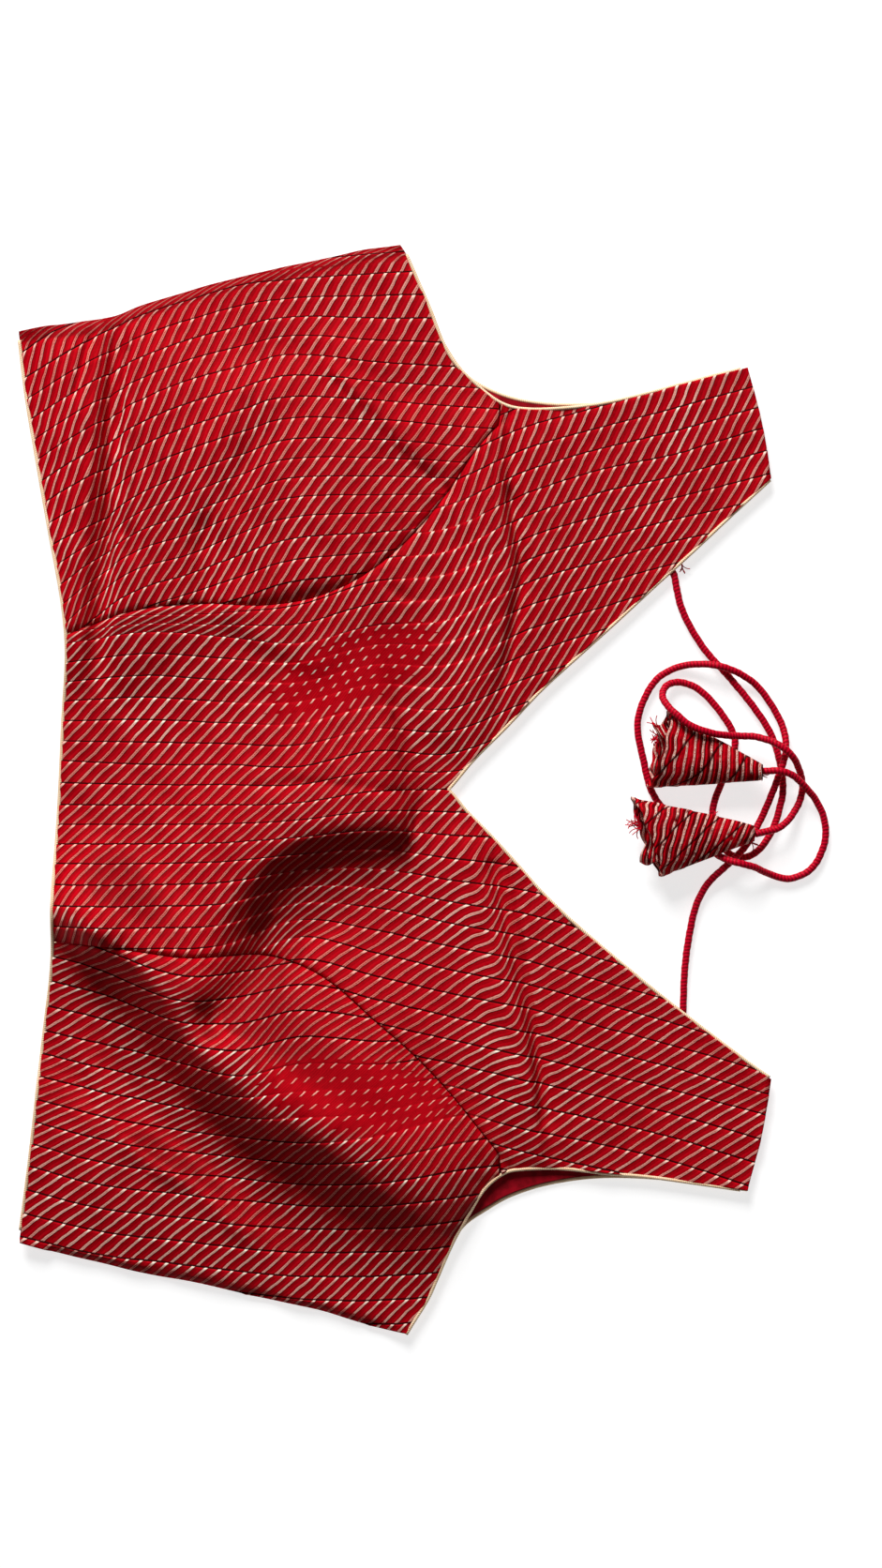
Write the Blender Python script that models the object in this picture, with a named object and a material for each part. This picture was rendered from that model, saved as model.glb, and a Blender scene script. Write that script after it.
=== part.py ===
"""Sleeveless sari blouse with princess seams, laid flat with its front up.

Metres, +Z up. The hem lies towards -X, the shoulders towards +X and the wearer's right side towards +Y.
The origin is on the surface that the blouse lies on, under the middle of the garment.
Tables and named sizes are in millimetres; the last step of each piece turns them into metres.
"""
import bmesh
import bpy
import numpy as np

MM = 0.001

# Cloth, piping and cord sizes
WALL = 1.4
SEAM_GAP = 0.3
TUCK_RELIEF = 0.9
LIP, FOOT = 0.06, 0.94
PIPING = 1.6
PIPED_INSET = PIPING + SEAM_GAP
BACK_WALL = 1.2
LINING_WALL = 1.0
LINING_FLOOR = BACK_WALL + SEAM_GAP
FRONT_FLOOR = LINING_FLOOR + LINING_WALL + SEAM_GAP
SIDE_ROLL = 3.5
CORNER_LIFT = 16.0
SIDE_FLOOR = 0.3
BACK_INSET = 6.5
LINING_TUCKED = 1.0
CORD = 3.2

# Spacing of the made surfaces
ROW_STEP = 13.0
ARMHOLE_ROW_STEP = 7.0
EDGE_STRIP = 3.0
FINE_STEP = 0.5
PIPING_STEP = 6.0
HIDDEN_STEP = 12.0
CORD_STEP = 7.5
CONE_SIDES = 16

# Outlines, each a list of (x, y) read along the edge from the hem or armhole towards the shoulder
SIDE_RIGHT = [(-172, 203.5), (-152, 207.5), (-137, 209.5), (-125, 211.8), (-114, 216.3), (-100, 220.5), (-87, 224.5),
              (-51, 233.3), (-32, 237.2), (-14, 241.3), (4, 243.3), (12, 244.3)]
SIDE_LEFT = [(-173, -202.5), (-154, -208), (-135, -212.6), (-107, -219.2), (-93, -221.5), (-63, -228.3), (-34, -234.6),
             (-9, -242), (6, -245), (12, -245.8)]
ARMHOLE_RIGHT = [(-2, 257), (4, 243.3), (12, 225), (16.5, 214.5), (23, 198), (28, 190), (36, 182), (46, 174),
                 (52, 171.3), (60, 170.2), (71, 170.4), (91, 172.5), (106, 175.6), (128, 181.4), (140, 184.6), (162, 190)]
ARMHOLE_LEFT = [(0, -256), (6, -245), (16, -228.5), (19.5, -220.5), (27, -203.5), (33.8, -191.4), (41.4, -179.6),
                (50.4, -173), (58, -171.8), (75, -171.6), (94, -173.7), (112, -175.2), (137, -178.6), (162, -182.3)]
NECK_RIGHT = [(15, -11), (25, -1), (36, 12), (50, 26), (66.6, 43.5), (83.4, 58.8), (100.2, 74), (117, 89.6), (134, 105),
              (150.6, 120.6), (172, 140.2)]
NECK_LEFT = [(15, 9), (25, -1), (33, -10.5), (40.5, -18), (54, -32.5), (66, -46), (77.5, -57.2), (90.6, -68.7), (104, -79.9),
             (117.5, -91), (131, -101.7), (144, -111.6), (157.5, -121.7), (172, -132)]
SEAM_RIGHT = [(-160, 62), (-146, 68), (-129, 75), (-114, 79), (-89, 82), (-59, 81), (-38, 84), (-22, 90), (-9, 98),
              (8, 113), (25, 134), (37, 152), (52, 168)]
SEAM_LEFT = [(-165, -68), (-152, -69), (-135, -70), (-114, -72), (-93, -75), (-59, -75), (-43, -79), (-30, -86),
             (-9, -104), (8, -119), (25, -137), (37, -152), (52, -171)]
V_POINT = (25, -1)
HEM_CORNER = -148.0
SIDE_CORNER = 4.0
NOTCH = 21.6
SEAM_END = 46.5
STRAP_START = 60.0
STRAP_END = 160.0
BACK_END = 164.5

# Ends, as (y, x) down the garment from the wearer's right to the left
HEM = [(-201, -169), (-160, -163.4), (-109, -157.8), (-78, -154), (-34, -152), (4, -150), (33, -148.8), (63, -147),
       (80, -148.5), (117, -155.4), (143, -160.2), (176, -166), (203, -169.5)]
SHOULDER_RIGHT = [(130, 169.5), (135, 169), (161, 165), (188, 158), (194, 156)]
SHOULDER_LEFT = [(-187, 157), (-181, 158), (-158, 164), (-128, 169), (-123, 169.5)]

# The back under the front: armholes that show past the front's, and a deep neck that does not show
BACK_ARMHOLE_RIGHT = [(-6, 237), (6, 232), (14, 217), (24, 197), (33, 185), (41.5, 179.8), (50, 176.3), (58, 174.3),
                      (72, 172.7), (84, 172.6), (96, 173.2), (106, 175), (128, 180.6), (140, 183.8), (158, 188)]
BACK_ARMHOLE_LEFT = [(-4, -238), (8, -233), (16, -221.5), (25, -206), (32, -196.5), (41.5, -190), (50, -185),
                     (61.7, -180.6), (70, -178.5), (83.5, -176.3), (96, -175.5), (112, -175.9), (134, -178),
                     (158, -181.5)]
BACK_NECK_RIGHT = [(-55, -1), (-54, 14), (-46, 30), (-30, 42), (0, 52), (40, 62), (80, 76), (117, 94.5), (150, 123),
                   (168, 139.5)]
BACK_NECK_LEFT = [(-55, -1), (-54, -16), (-46, -32), (-30, -44), (0, -56), (40, -68), (80, -82), (117, -98),
                  (150, -119), (168, -131)]

# Tucks: each row is one guide tuck, counted down the garment, with its y at the stations
CENTRE_STATIONS = [-152, -110, -76, -43, -9, 25, 58, 92, 125, 159]
CENTRE_TUCKS = {
    -16: [101, 101, 107, 126, 147, 157, 171, 180, 190, 199],
    -12: [84, 84, 88, 98, 111, 116, 131, 142, 149, 159],
    -8: [63, 69, 67, 64, 72, 75, 91, 101, 110, 117],
    -5: [38, 40, 38, 38, 46, 45, 59, 70, 80, 86],
    -2: [12, 10, 10, 9, 16, 15, 27, 38, 48, 56],
    0: [-8, -8, -8, -7, -2, -1, 1, 2, 4, 6],
    3: [-34, -34, -33, -30, -28, -32, -36, -44, -51, -57],
    6: [-62, -62, -61, -52, -54, -61, -67, -77, -86, -95],
    8: [-80, -80, -79, -67, -74, -82, -88, -97, -106, -116],
    11: [-106, -106, -105, -97, -105, -113, -120, -128, -136, -145],
    14: [-135, -135, -134, -126, -137, -144, -153, -160, -168, -179],
    17: [-164, -164, -163, -156, -168, -175, -184, -193, -200, -212],
}
SIDE_RIGHT_STATIONS = [-169, -152, -131, -114, -93, -68, -51, -9, 33]
SIDE_RIGHT_TUCKS = {
    -2: [205, 218, 224, 231, 235, 242, 245, 248, 252],
    0: [181, 191, 203, 211, 218, 225, 227, 230, 232],
    4: [140, 151, 163, 172, 181, 188, 193, 190, 188],
    8: [97, 108, 119, 130, 139, 148, 154, 155, 152],
    12: [59, 68, 87, 97, 103, 113, 119, 122, 124],
    15: [29, 40, 59, 69, 77, 84, 90, 96, 105],
}
SIDE_LEFT_STATIONS = [-169, -135, -93, -68, -43, -9, 25, 50]
SIDE_LEFT_TUCKS = {
    -2: [-42, -49, -61, -61, -59, -63, -70, -74],
    1: [-72, -80, -94, -93, -88, -93, -99, -103],
    4: [-106, -114, -123, -127, -122, -123, -120, -118],
    7: [-137, -146, -154, -156, -157, -154, -147, -143],
    10: [-168, -177, -182, -185, -187, -186, -183, -182],
    13: [-201, -209, -214, -217, -219, -219, -217, -214],
    16: [-233, -240, -244, -247, -250, -252, -249, -246],
}

# Domes that lift the front: place, turn in degrees, reach each way, height, and how square the dome is
DOME_COLUMNS = ("x", "y", "turn", "left", "right", "up", "down", "height", "square")
DOMES = {
    "right_cup": (-36, 90, 0, 80, 60, 108, 76, 11, 1.25),
    "left_cup": (-22, -118, -30, 70, 62, 50, 44, 9, 1.4),
    "hem_rise": (-152, 0, 0, 60, 70, 125, 125, 7.5, 1.0),
    "right_flank": (-85, 165, 0, 80, 70, 50, 60, 4, 1.0),
    "left_flank": (-110, -172, -35, 90, 105, 14, 66, 7, 1.0),
}
# Troughs pressed into the front: depth, half width, and the line each follows
TROUGHS = {
    "hem_fold_second": (1.4, 2.2, [(-112, 205), (-113, 160), (-117, 104)]),
    "flank_fold_upper": (1.8, 6.0, [(-55, 201), (-23, 188), (6, 177)]),
    "flank_fold_lower": (2.0, 5.0, [(-62, 168), (-67, 147), (-76, 128), (-84, 115), (-85.5, 100), (-86, 84)]),
    "v_fold": (3.5, 2.2, [(12, -4), (10, -9), (8, -18), (6, -26), (6, -37), (5.5, -45)]),
    "under_ridge": (9.0, 9.0, [(-80, -103), (-69, -92), (-63, -82), (-57, -72), (-52, -67), (-39, -58),
                               (-21, -54), (-4, -47), (5, -40)]),
}
# Folds that stand up along a line: height, reach of the steep side (left of travel), reach of the other side, line
FOLDS = {
    "centre_ridge": (17.0, 17.0, 14.0, 44.0, 0.12, [(16, -8), (6, -10), (-12, -12), (-33, -16), (-50, -23),
                                                    (-62, -32), (-71, -43), (-79, -58), (-84, -73), (-87, -90), (-91, -108)]),
    "left_cup_edge": (26.0, 34.0, 13.0, 31.0, 0.16, [(76, -232), (44, -206), (18, -184), (-10, -167), (-28, -155),
                                                     (-52, -140), (-70, -125), (-91, -100), (-110, -76), (-136, -58),
                                                     (-172, -42)]),
    "bust_fold_right": (5.0, 5.0, 5.0, 18.0, 0.25, [(27, 132), (22, 138), (5, 153), (-10, 169), (-23, 184), (-43, 201)]),
    "cup_side": (4.0, 8.0, 8.0, 30.0, 0.25, [(-52, 190), (-62, 173), (-72, 157), (-78, 140), (-82, 120), (-86, 100)]),
    "under_right_cup": (2.5, 7.0, 7.0, 18.0, 0.22, [(-16, 48), (-34, 54), (-48, 61), (-62, 70), (-76, 78), (-90, 82)]),
    "hem_fold_near": (7.0, 5.5, 5.5, 26.0, 0.22, [(-133, 235), (-134.5, 200), (-136, 150), (-139, 98), (-141, 60),
                                                  (-142, 30)]),
    "hem_fold_far": (7.0, 5.5, 5.5, 30.0, 0.22, [(-125, 30), (-124, 60), (-122, 98), (-119, 150), (-117, 200),
                                                 (-116, 235)]),
    "lower_second": (3.5, 5.0, 5.0, 9.0, 0.22, [(-50, -216), (-70, -196), (-88, -178), (-112, -164), (-127, -146),
                                                (-136, -124), (-140, -98)]),
    "strap_left_near": (8.0, 5.0, 5.0, 22.0, 0.1, [(40, -8), (46, -40), (51, -64), (54, -84), (57, -104), (60, -128),
                                                   (62, -148), (66, -190)]),
    "strap_left_far": (3.0, 5.0, 5.0, 24.0, 0.1, [(75, -190), (72, -146), (70, -128), (67, -104), (64, -84), (61, -64),
                                                  (57, -40), (51, -10)]),
    "strap_right_near": (6.0, 4.5, 4.5, 24.0, 0.1, [(44, 180), (46, 134), (47, 121), (51, 100), (49, 83), (45, 61),
                                                    (36, 8)]),
    "strap_right_far": (3.0, 5.0, 5.0, 24.0, 0.1, [(48, 16), (57, 61), (61, 83), (62, 100), (58, 121), (56, 180)]),
}
# How sharply folds that meet keep to the higher one
FOLD_JOIN = 3
EDGE_REACH = {"side": 20.0, "opening": 22.0}

# Tie cords: the route's own points (x, y, z), from the sewn end to the cone
DORI_RIGHT_ROUTE = [
    (125.2, 95.3, 2.1), (128.9, 79.6, 2.1), (138.2, 62.8, 2.1), (149.7, 49.8, 2.1), (160.7, 36.3, 2.1),
    (168.6, 24.1, 2.1), (172.6, 12.0, 2.1), (174.1, -1.1, 2.1), (172.8, -8.6, 2.1), (170.3, -17.0, 2.1),
    (166.5, -24.1, 2.1), (161.9, -29.2, 2.1), (156.3, -31.4, 2.1), (149.8, -29.6, 2.1), (145.2, -23.0, 2.1),
    (142.8, -14.1, 2.1), (143.0, -7.8, 2.1), (148.0, 5.7, 2.1), (152.0, 15.0, 2.1), (152.2, 23.1, 2.1),
    (145.8, 34.0, 2.1), (136.7, 43.6, 2.1), (129.0, 47.0, 2.3), (122.6, 46.2, 3.8), (119.6, 41.6, 7.2),
    (121.6, 36.5, 11.8), (125.6, 32.4, 14.6), (131.0, 27.9, 15.0), (137.6, 25.2, 14.4), (144.4, 23.6, 12.4),
    (152.7, 23.0, 8.8), (160.5, 22.7, 8.4), (167.4, 20.8, 10.0), (172.4, 18.3, 11.2), (177.4, 14.1, 10.3),
    (181.2, 7.6, 5.4), (182.9, 0.2, 2.1), (180.8, -7.8, 3.0), (173.0, -17.4, 7.2), (161.2, -20.8, 9.4)]
DORI_LEFT_ROUTE = [
    (129.3, -98.6, 2.1), (129.9, -84.0, 2.1), (131.6, -69.0, 2.1), (135.0, -53.4, 2.2), (140.1, -43.5, 2.8),
    (145.9, -37.4, 4.8), (151.8, -31.9, 6.4), (157.7, -25.4, 4.8), (164.2, -14.3, 2.2), (169.0, -2.7, 4.4),
    (171.6, 4.8, 6.5), (174.1, 12.0, 6.6), (175.2, 19.1, 5.2), (173.2, 29.0, 2.4), (163.6, 44.3, 2.3),
    (154.8, 50.8, 4.5), (145.5, 54.2, 6.4), (136.0, 55.2, 4.2), (126.6, 53.8, 2.1), (117.6, 48.6, 2.1),
    (111.4, 38.5, 2.1), (108.8, 27.5, 2.1), (111.3, 13.0, 2.1), (115.6, -2.6, 2.1), (124.6, -14.2, 2.1),
    (136.0, -23.4, 2.1), (141.6, -28.2, 3.1), (147.6, -32.0, 8.9), (153.6, -33.8, 11.4), (160.6, -35.6, 8.6),
    (167.9, -38.8, 3.6), (177.0, -41.0, 2.1), (187.0, -36.4, 2.1), (192.8, -24.8, 2.1), (192.6, -14.2, 2.1),
    (188.8, -5.8, 3.4), (184.0, -0.2, 6.4), (178.4, 4.9, 9.2), (172.4, 7.3, 11.0), (164.0, 7.2, 9.2)]

# Cloth cones on the cord ends: mouth and tip as (x, y, z), half width and half height at each
CONE_COLUMNS = ("mouth", "tip", "mouth_half", "tip_half", "lean")
CONES = {
    "latkan_upper": ((119.8, 17.4, 7.2), (163.5, 6.9, 9.2), (17.2, 6.9), (2.9, 2.6), 4.6),
    "latkan_lower": ((114.2, -22.2, 9.9), (159.8, -20.6, 9.4), (17.6, 5.5), (2.9, 2.6), -6.5),
}
CONE_WALL = 1.1
CONE_CUTS = 3

COLOURS = {
    "silk": ((0.46, 0.004, 0.014, 1), 0.42),
    "back_silk": ((0.38, 0.004, 0.014, 1), 0.45),
    "lining": ((0.30, 0.003, 0.012, 1), 0.6),
    "piping": ((0.72, 0.52, 0.29, 1), 0.5),
    "dori": ((0.50, 0.002, 0.02, 1), 0.5),
}


def smooth_at(stations, values, at):
    """The smooth line through a table's points, read at any places: a cubic with the mean slopes at its points."""
    s = np.asarray(stations, float)
    v = np.asarray(values, float)
    rise = np.diff(v) / np.diff(s)
    slope = np.concatenate([rise[:1], (rise[1:] + rise[:-1]) / 2, rise[-1:]])
    at = np.asarray(at, float)
    k = np.clip(np.searchsorted(s, at) - 1, 0, len(s) - 2)
    width = s[k + 1] - s[k]
    f = np.clip((at - s[k]) / width, -0.5, 1.5)
    a, b = v[k], v[k + 1]
    return (a * (2 * f**3 - 3 * f**2 + 1) + b * (3 * f**2 - 2 * f**3)
            + width * (slope[k] * (f**3 - 2 * f**2 + f) + slope[k + 1] * (f**3 - f**2)))


def walked(points, step, inset=0.0):
    """Even points along the smooth curve through a list of points, moved square to it, left of travel by inset."""
    p = np.array(points, float)
    chord = np.concatenate([[0], np.cumsum(np.linalg.norm(np.diff(p, axis=0), axis=1))])
    fine = np.linspace(0, chord[-1], int(chord[-1] / FINE_STEP))
    x, y = smooth_at(chord, p[:, 0], fine), smooth_at(chord, p[:, 1], fine)
    dx, dy = np.gradient(x), np.gradient(y)
    size = np.hypot(dx, dy)
    x, y = x - inset * dy / size, y + inset * dx / size
    length = np.concatenate([[0], np.cumsum(np.hypot(np.diff(x), np.diff(y)))])
    even = np.linspace(0, length[-1], max(2, int(round(length[-1] / step)) + 1))
    return np.stack([np.interp(even, length, x), np.interp(even, length, y)], axis=1)


def line_at(table, at, inset=0.0):
    """A table line's second column at places along the first, with the line moved square to itself by inset."""
    path = walked(table, FINE_STEP, inset)
    path = path[np.concatenate([[True], np.diff(np.maximum.accumulate(path[:, 0])) > 0])]
    return np.interp(at, path[:, 0], path[:, 1])


def beside(points, distance):
    """A broken line parallel to another, left of travel by distance, with its corners kept sharp."""
    p = np.array(points, float)
    way = np.diff(p, axis=0)
    way /= np.linalg.norm(way, axis=1)[:, None]
    left = np.stack([-way[:, 1], way[:, 0]], axis=1)
    before, after = np.vstack([left[:1], left]), np.vstack([left, left[-1:]])
    corner = before + after
    corner /= (1 + (before * after).sum(axis=1))[:, None]
    return p + distance * corner


def reach_to_line(x, y, line):
    """Distance from each place to a broken line."""
    best = np.full(np.shape(x), 1e9)
    for (ax, ay), (bx, by) in zip(line, line[1:]):
        along = np.clip(((x - ax) * (bx - ax) + (y - ay) * (by - ay)) / ((bx - ax)**2 + (by - ay)**2), 0, 1)
        best = np.minimum(best, np.hypot(x - ax - along * (bx - ax), y - ay - along * (by - ay)))
    return best


def ease(f):
    """0 to 1 with level ends."""
    f = np.clip(f, 0, 1)
    return f * f * (3 - 2 * f)


def dome_height(x, y, dome):
    """One dome's lift: it falls off with its own reach to each side."""
    d = dict(zip(DOME_COLUMNS, dome))
    turn = np.radians(d["turn"])
    u = (x - d["x"]) * np.cos(turn) + (y - d["y"]) * np.sin(turn)
    v = (y - d["y"]) * np.cos(turn) - (x - d["x"]) * np.sin(turn)
    across = u / np.where(u < 0, d["left"], d["right"])
    along = v / np.where(v < 0, d["down"], d["up"])
    return d["height"] * np.exp(-(across**2 + along**2)**d["square"] * 1.4)


def fold_height(x, y, fold):
    """One standing fold's lift: steep on the left of its line's travel, gentle on the right, level at its ends."""
    height, steep_first, steep_last, gentle, rise, line = fold
    path = walked(line, 5.0)
    away = np.full(np.shape(x), 1e9)
    side = np.zeros(np.shape(x))
    share = np.zeros(np.shape(x))
    for n, ((ax, ay), (bx, by)) in enumerate(zip(path, path[1:])):
        along = np.clip(((x - ax) * (bx - ax) + (y - ay) * (by - ay)) / ((bx - ax)**2 + (by - ay)**2), 0, 1)
        off_x, off_y = x - ax - along * (bx - ax), y - ay - along * (by - ay)
        reach = np.hypot(off_x, off_y)
        nearer = reach < away
        away = np.where(nearer, reach, away)
        side = np.where(nearer, (bx - ax) * off_y - (by - ay) * off_x, side)
        share = np.where(nearer, (n + along) / (len(path) - 1), share)
    ends = ease(share / rise) * ease((1 - share) / rise)
    steep = steep_first + (steep_last - steep_first) * share
    return height * ends * np.exp(-(away / np.where(side > 0, steep, gentle))**2)


def front_floor(x, y):
    """Height of the front wall's plain inside over the surface."""
    side = np.minimum(reach_to_line(x, y, SIDE_RIGHT[1:-1]), reach_to_line(x, y, SIDE_LEFT[1:-1]))
    opening = np.minimum.reduce([reach_to_line(x, y, line[1:-1]) for line in
                                 (ARMHOLE_RIGHT, ARMHOLE_LEFT, NECK_RIGHT, NECK_LEFT)])
    lift = sum(dome_height(x, y, dome) for dome in DOMES.values())
    lift = lift + sum(fold_height(x, y, fold)**FOLD_JOIN for fold in FOLDS.values())**(1 / FOLD_JOIN)
    lift = lift * (1 - np.exp(-side / EDGE_REACH["side"])) * (1 - np.exp(-opening / EDGE_REACH["opening"]))
    press = sum(depth * np.exp(-(reach_to_line(x, y, line) / half)**2) for depth, half, line in TROUGHS.values())
    lift = np.maximum(lift - press * ease(lift / 6), 0)
    corner = np.maximum(ease((x - V_POINT[0]) / CORNER_LIFT + 2.2), ease((HEM_CORNER - x) / CORNER_LIFT))
    edge = SIDE_FLOOR + (FRONT_FLOOR - SIDE_FLOOR) * corner
    rolled = edge + (FRONT_FLOOR - edge) * ease(side / SIDE_ROLL)
    return rolled + lift


def guide_places(stations, tucks, x):
    """The guide tucks' y at each x, one row for each guide."""
    return np.array([smooth_at(stations, row, x) for row in tucks.values()])


def tuck_place(stations, tucks, x, count):
    """The y of a place counted in tucks."""
    rows = guide_places(stations, tucks, x)
    counts = np.array(list(tucks), float)
    k = np.clip(np.searchsorted(counts, count) - 1, 0, len(counts) - 2)
    f = (count - counts[k]) / (counts[k + 1] - counts[k])
    at = np.arange(len(x))
    return rows[k, at] * (1 - f) + rows[k + 1, at] * f


def tuck_count(stations, tucks, x, y):
    """The place of y counted in tucks, from the top guide down."""
    rows = guide_places(stations, tucks, x)
    counts = np.array(list(tucks), float)
    k = np.clip((rows > y).sum(axis=0) - 1, 0, len(counts) - 2)
    at = np.arange(len(x))
    f = (rows[k, at] - y) / (rows[k, at] - rows[k + 1, at])
    return counts[k] * (1 - f) + counts[k + 1] * f


def tuck_relief(count):
    """A knife tuck's rise over the plain wall: high at its lip, down to nothing at its foot."""
    return TUCK_RELIEF * (1 - (count - np.floor(count)))


def tuck_columns(first, last):
    """Two columns of points for each tuck, one at its lip and one at its foot."""
    return [n + f for n in range(first, last) for f in (LIP, FOOT)]


def front_rows():
    """The front's rows from hem to shoulder: close over the armholes' curves, with one at the V and each corner."""
    marks = (-169.0, SIDE_CORNER, NOTCH, SEAM_END, STRAP_START, 169.0)
    steps = (ROW_STEP, ARMHOLE_ROW_STEP, ARMHOLE_ROW_STEP, ARMHOLE_ROW_STEP, ROW_STEP)
    rows = [marks[0]]
    for first, last, step in zip(marks, marks[1:], steps):
        rows += list(np.linspace(first, last, max(1, int(round((last - first) / step))) + 1)[1:])
    return np.array(rows)


def panel_points(rows, columns, guides, high, low, ends):
    """Places (x, y, tuck count) of a panel's points, held inside its outline with a narrow strip along each edge."""
    stations, tucks = guides
    hem_end, far_end = ends
    i, j = np.meshgrid(np.arange(len(rows)), np.arange(len(columns)), indexing="ij")
    i, j = i.ravel(), j.ravel()
    x = rows[i].astype(float)
    count = np.asarray(columns, float)[j]
    outer = np.where(j == 0, 1, np.where(j == len(columns) - 1, -1, 0))
    for _ in range(4):
        top, bottom = high(x), low(x)
        strip = np.minimum(EDGE_STRIP, np.maximum(top - bottom, 0) / 3)
        strip_low = strip * (low.strip(x) if hasattr(low, "strip") else 1)
        strip_high = strip * (high.strip(x) if hasattr(high, "strip") else 1)
        top_count = tuck_count(stations, tucks, x, top)
        low_count = tuck_count(stations, tucks, x, np.minimum(bottom, top))
        held = np.clip(count, tuck_count(stations, tucks, x, top - strip_high),
                       tuck_count(stations, tucks, x, bottom + strip_low))
        held = np.where(outer == 1, top_count, np.where(outer == -1, low_count, held))
        y = tuck_place(stations, tucks, x, held)
        x = rows[i].astype(float)
        inner = EDGE_STRIP
        if hem_end is not None:
            x = np.where(i == 0, hem_end(y), np.maximum(x, hem_end(y) + inner))
        if far_end is not None:
            x = np.where(i == len(rows) - 1, far_end(y), np.minimum(x, far_end(y) - inner))
    return x, y, held


def grid_into(bm, tuck_layer, rows, columns, guides, high, low, ends):
    """Adds one grid of the front to bm, as its plain inside."""
    x, y, count = panel_points(rows, columns, guides, high, low, ends)
    z = front_floor(x, y)
    made = bmesh.ops.create_grid(bm, x_segments=len(columns) - 1, y_segments=len(rows) - 1, size=1.0)
    for vert in made["verts"]:
        column = round((vert.co.x + 1) / 2 * (len(columns) - 1))
        row = round((vert.co.y + 1) / 2 * (len(rows) - 1))
        n = row * len(columns) + column
        vert.co = (x[n] * MM, y[n] * MM, z[n] * MM)
        vert[tuck_layer] = count[n]


def front_panel(name, grids):
    """A front panel: its grids joined, given their wall, and the tucks raised in the outer points."""
    bm = bmesh.new()
    tuck_layer = bm.verts.layers.float.new("tuck")
    for grid in grids:
        grid_into(bm, tuck_layer, *grid)
    bmesh.ops.remove_doubles(bm, verts=bm.verts, dist=0.00001)
    bmesh.ops.dissolve_degenerate(bm, edges=bm.edges, dist=0.00001)
    bmesh.ops.triangulate(bm, faces=bm.faces, quad_method="SHORT_EDGE")
    raised = bmesh.ops.extrude_face_region(bm, geom=bm.faces[:])
    for vert in raised["geom"]:
        if isinstance(vert, bmesh.types.BMVert):
            vert.co.z += (WALL + float(tuck_relief(vert[tuck_layer]))) * MM
    bmesh.ops.recalc_face_normals(bm, faces=bm.faces)
    return finish(bm, name, "silk")


def finish(bm, name, colour, smooth=False):
    """Makes the named object of a mesh, with its colour."""
    mesh = bpy.data.meshes.new(name)
    bm.to_mesh(mesh)
    bm.free()
    if smooth:
        mesh.shade_smooth()
    mesh.materials.append(material(colour))
    thing = bpy.data.objects.new(name, mesh)
    bpy.context.collection.objects.link(thing)
    return thing


def material(colour):
    """One material for each colour name."""
    if colour in bpy.data.materials:
        return bpy.data.materials[colour]
    made = bpy.data.materials.new(colour)
    made.use_nodes = True
    shader = made.node_tree.nodes["Principled BSDF"]
    base, rough = COLOURS[colour]
    shader.inputs["Base Color"].default_value = base
    shader.inputs["Roughness"].default_value = rough
    made.diffuse_color = base
    return made


class Edge:
    """A panel's edge as y at each x; strip scales the strip kept beside it."""

    def __init__(self, at, strip=None):
        self.at = at
        if strip:
            self.strip = strip

    def __call__(self, x):
        return self.at(x)


def hem_line(y):
    return line_at(HEM, y, PIPED_INSET)


def shoulder_line(table):
    return lambda y: line_at(table, y)


def make_front():
    """The centre front with both straps, and the two side fronts."""
    centre = (CENTRE_STATIONS, CENTRE_TUCKS)
    half_gap = SEAM_GAP / 2

    def middle(x):
        return tuck_place(*centre, x, np.zeros(len(x)))

    def top_right(x):
        return np.minimum(line_at(ARMHOLE_RIGHT, x, -PIPED_INSET), np.where(
            x < SEAM_END + 0.1, line_at(SEAM_RIGHT, x, -half_gap), 1e3))

    def neck_right(x):
        return np.where(x > NOTCH, np.maximum(line_at(NECK_RIGHT, x, PIPED_INSET), middle(x)), middle(x))

    def neck_left(x):
        return np.where(x > NOTCH, np.minimum(line_at(NECK_LEFT, x, -PIPED_INSET), middle(x)), middle(x))

    def bottom_left(x):
        return np.maximum(line_at(ARMHOLE_LEFT, x, PIPED_INSET), np.where(
            x < SEAM_END + 0.1, line_at(SEAM_LEFT, x, half_gap), -1e3))

    def beside_neck(x):
        return ease((x - NOTCH) / 12)

    rows = front_rows()
    ends_right = (hem_line, shoulder_line(SHOULDER_RIGHT))
    ends_left = (hem_line, shoulder_line(SHOULDER_LEFT))
    front_panel("front_centre", [
        (rows, [-17] + tuck_columns(-17, 0) + [0], centre, Edge(top_right), Edge(neck_right, beside_neck), ends_right),
        (rows, [0] + tuck_columns(0, 17) + [17], centre, Edge(neck_left, beside_neck), Edge(bottom_left), ends_left),
    ])

    def side_top(x):
        return np.minimum(line_at(SIDE_RIGHT, x), line_at(ARMHOLE_RIGHT, x, -PIPED_INSET))

    def side_bottom(x):
        return np.minimum(line_at(SEAM_RIGHT, x, half_gap), side_top(x))

    side_rows = rows[rows < SEAM_END + 0.1]
    front_panel("side_front_right", [
        (side_rows, [-2] + tuck_columns(-2, 15) + [15], (SIDE_RIGHT_STATIONS, SIDE_RIGHT_TUCKS),
         Edge(side_top), Edge(side_bottom), (hem_line, None))])

    def low_side(x):
        return np.maximum(line_at(SIDE_LEFT, x), line_at(ARMHOLE_LEFT, x, PIPED_INSET))

    def high_side(x):
        return np.maximum(line_at(SEAM_LEFT, x, -half_gap), low_side(x))

    front_panel("side_front_left", [
        (side_rows, [-2] + tuck_columns(-2, 16) + [16], (SIDE_LEFT_STATIONS, SIDE_LEFT_TUCKS),
         Edge(high_side), Edge(low_side), (hem_line, None))])


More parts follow.
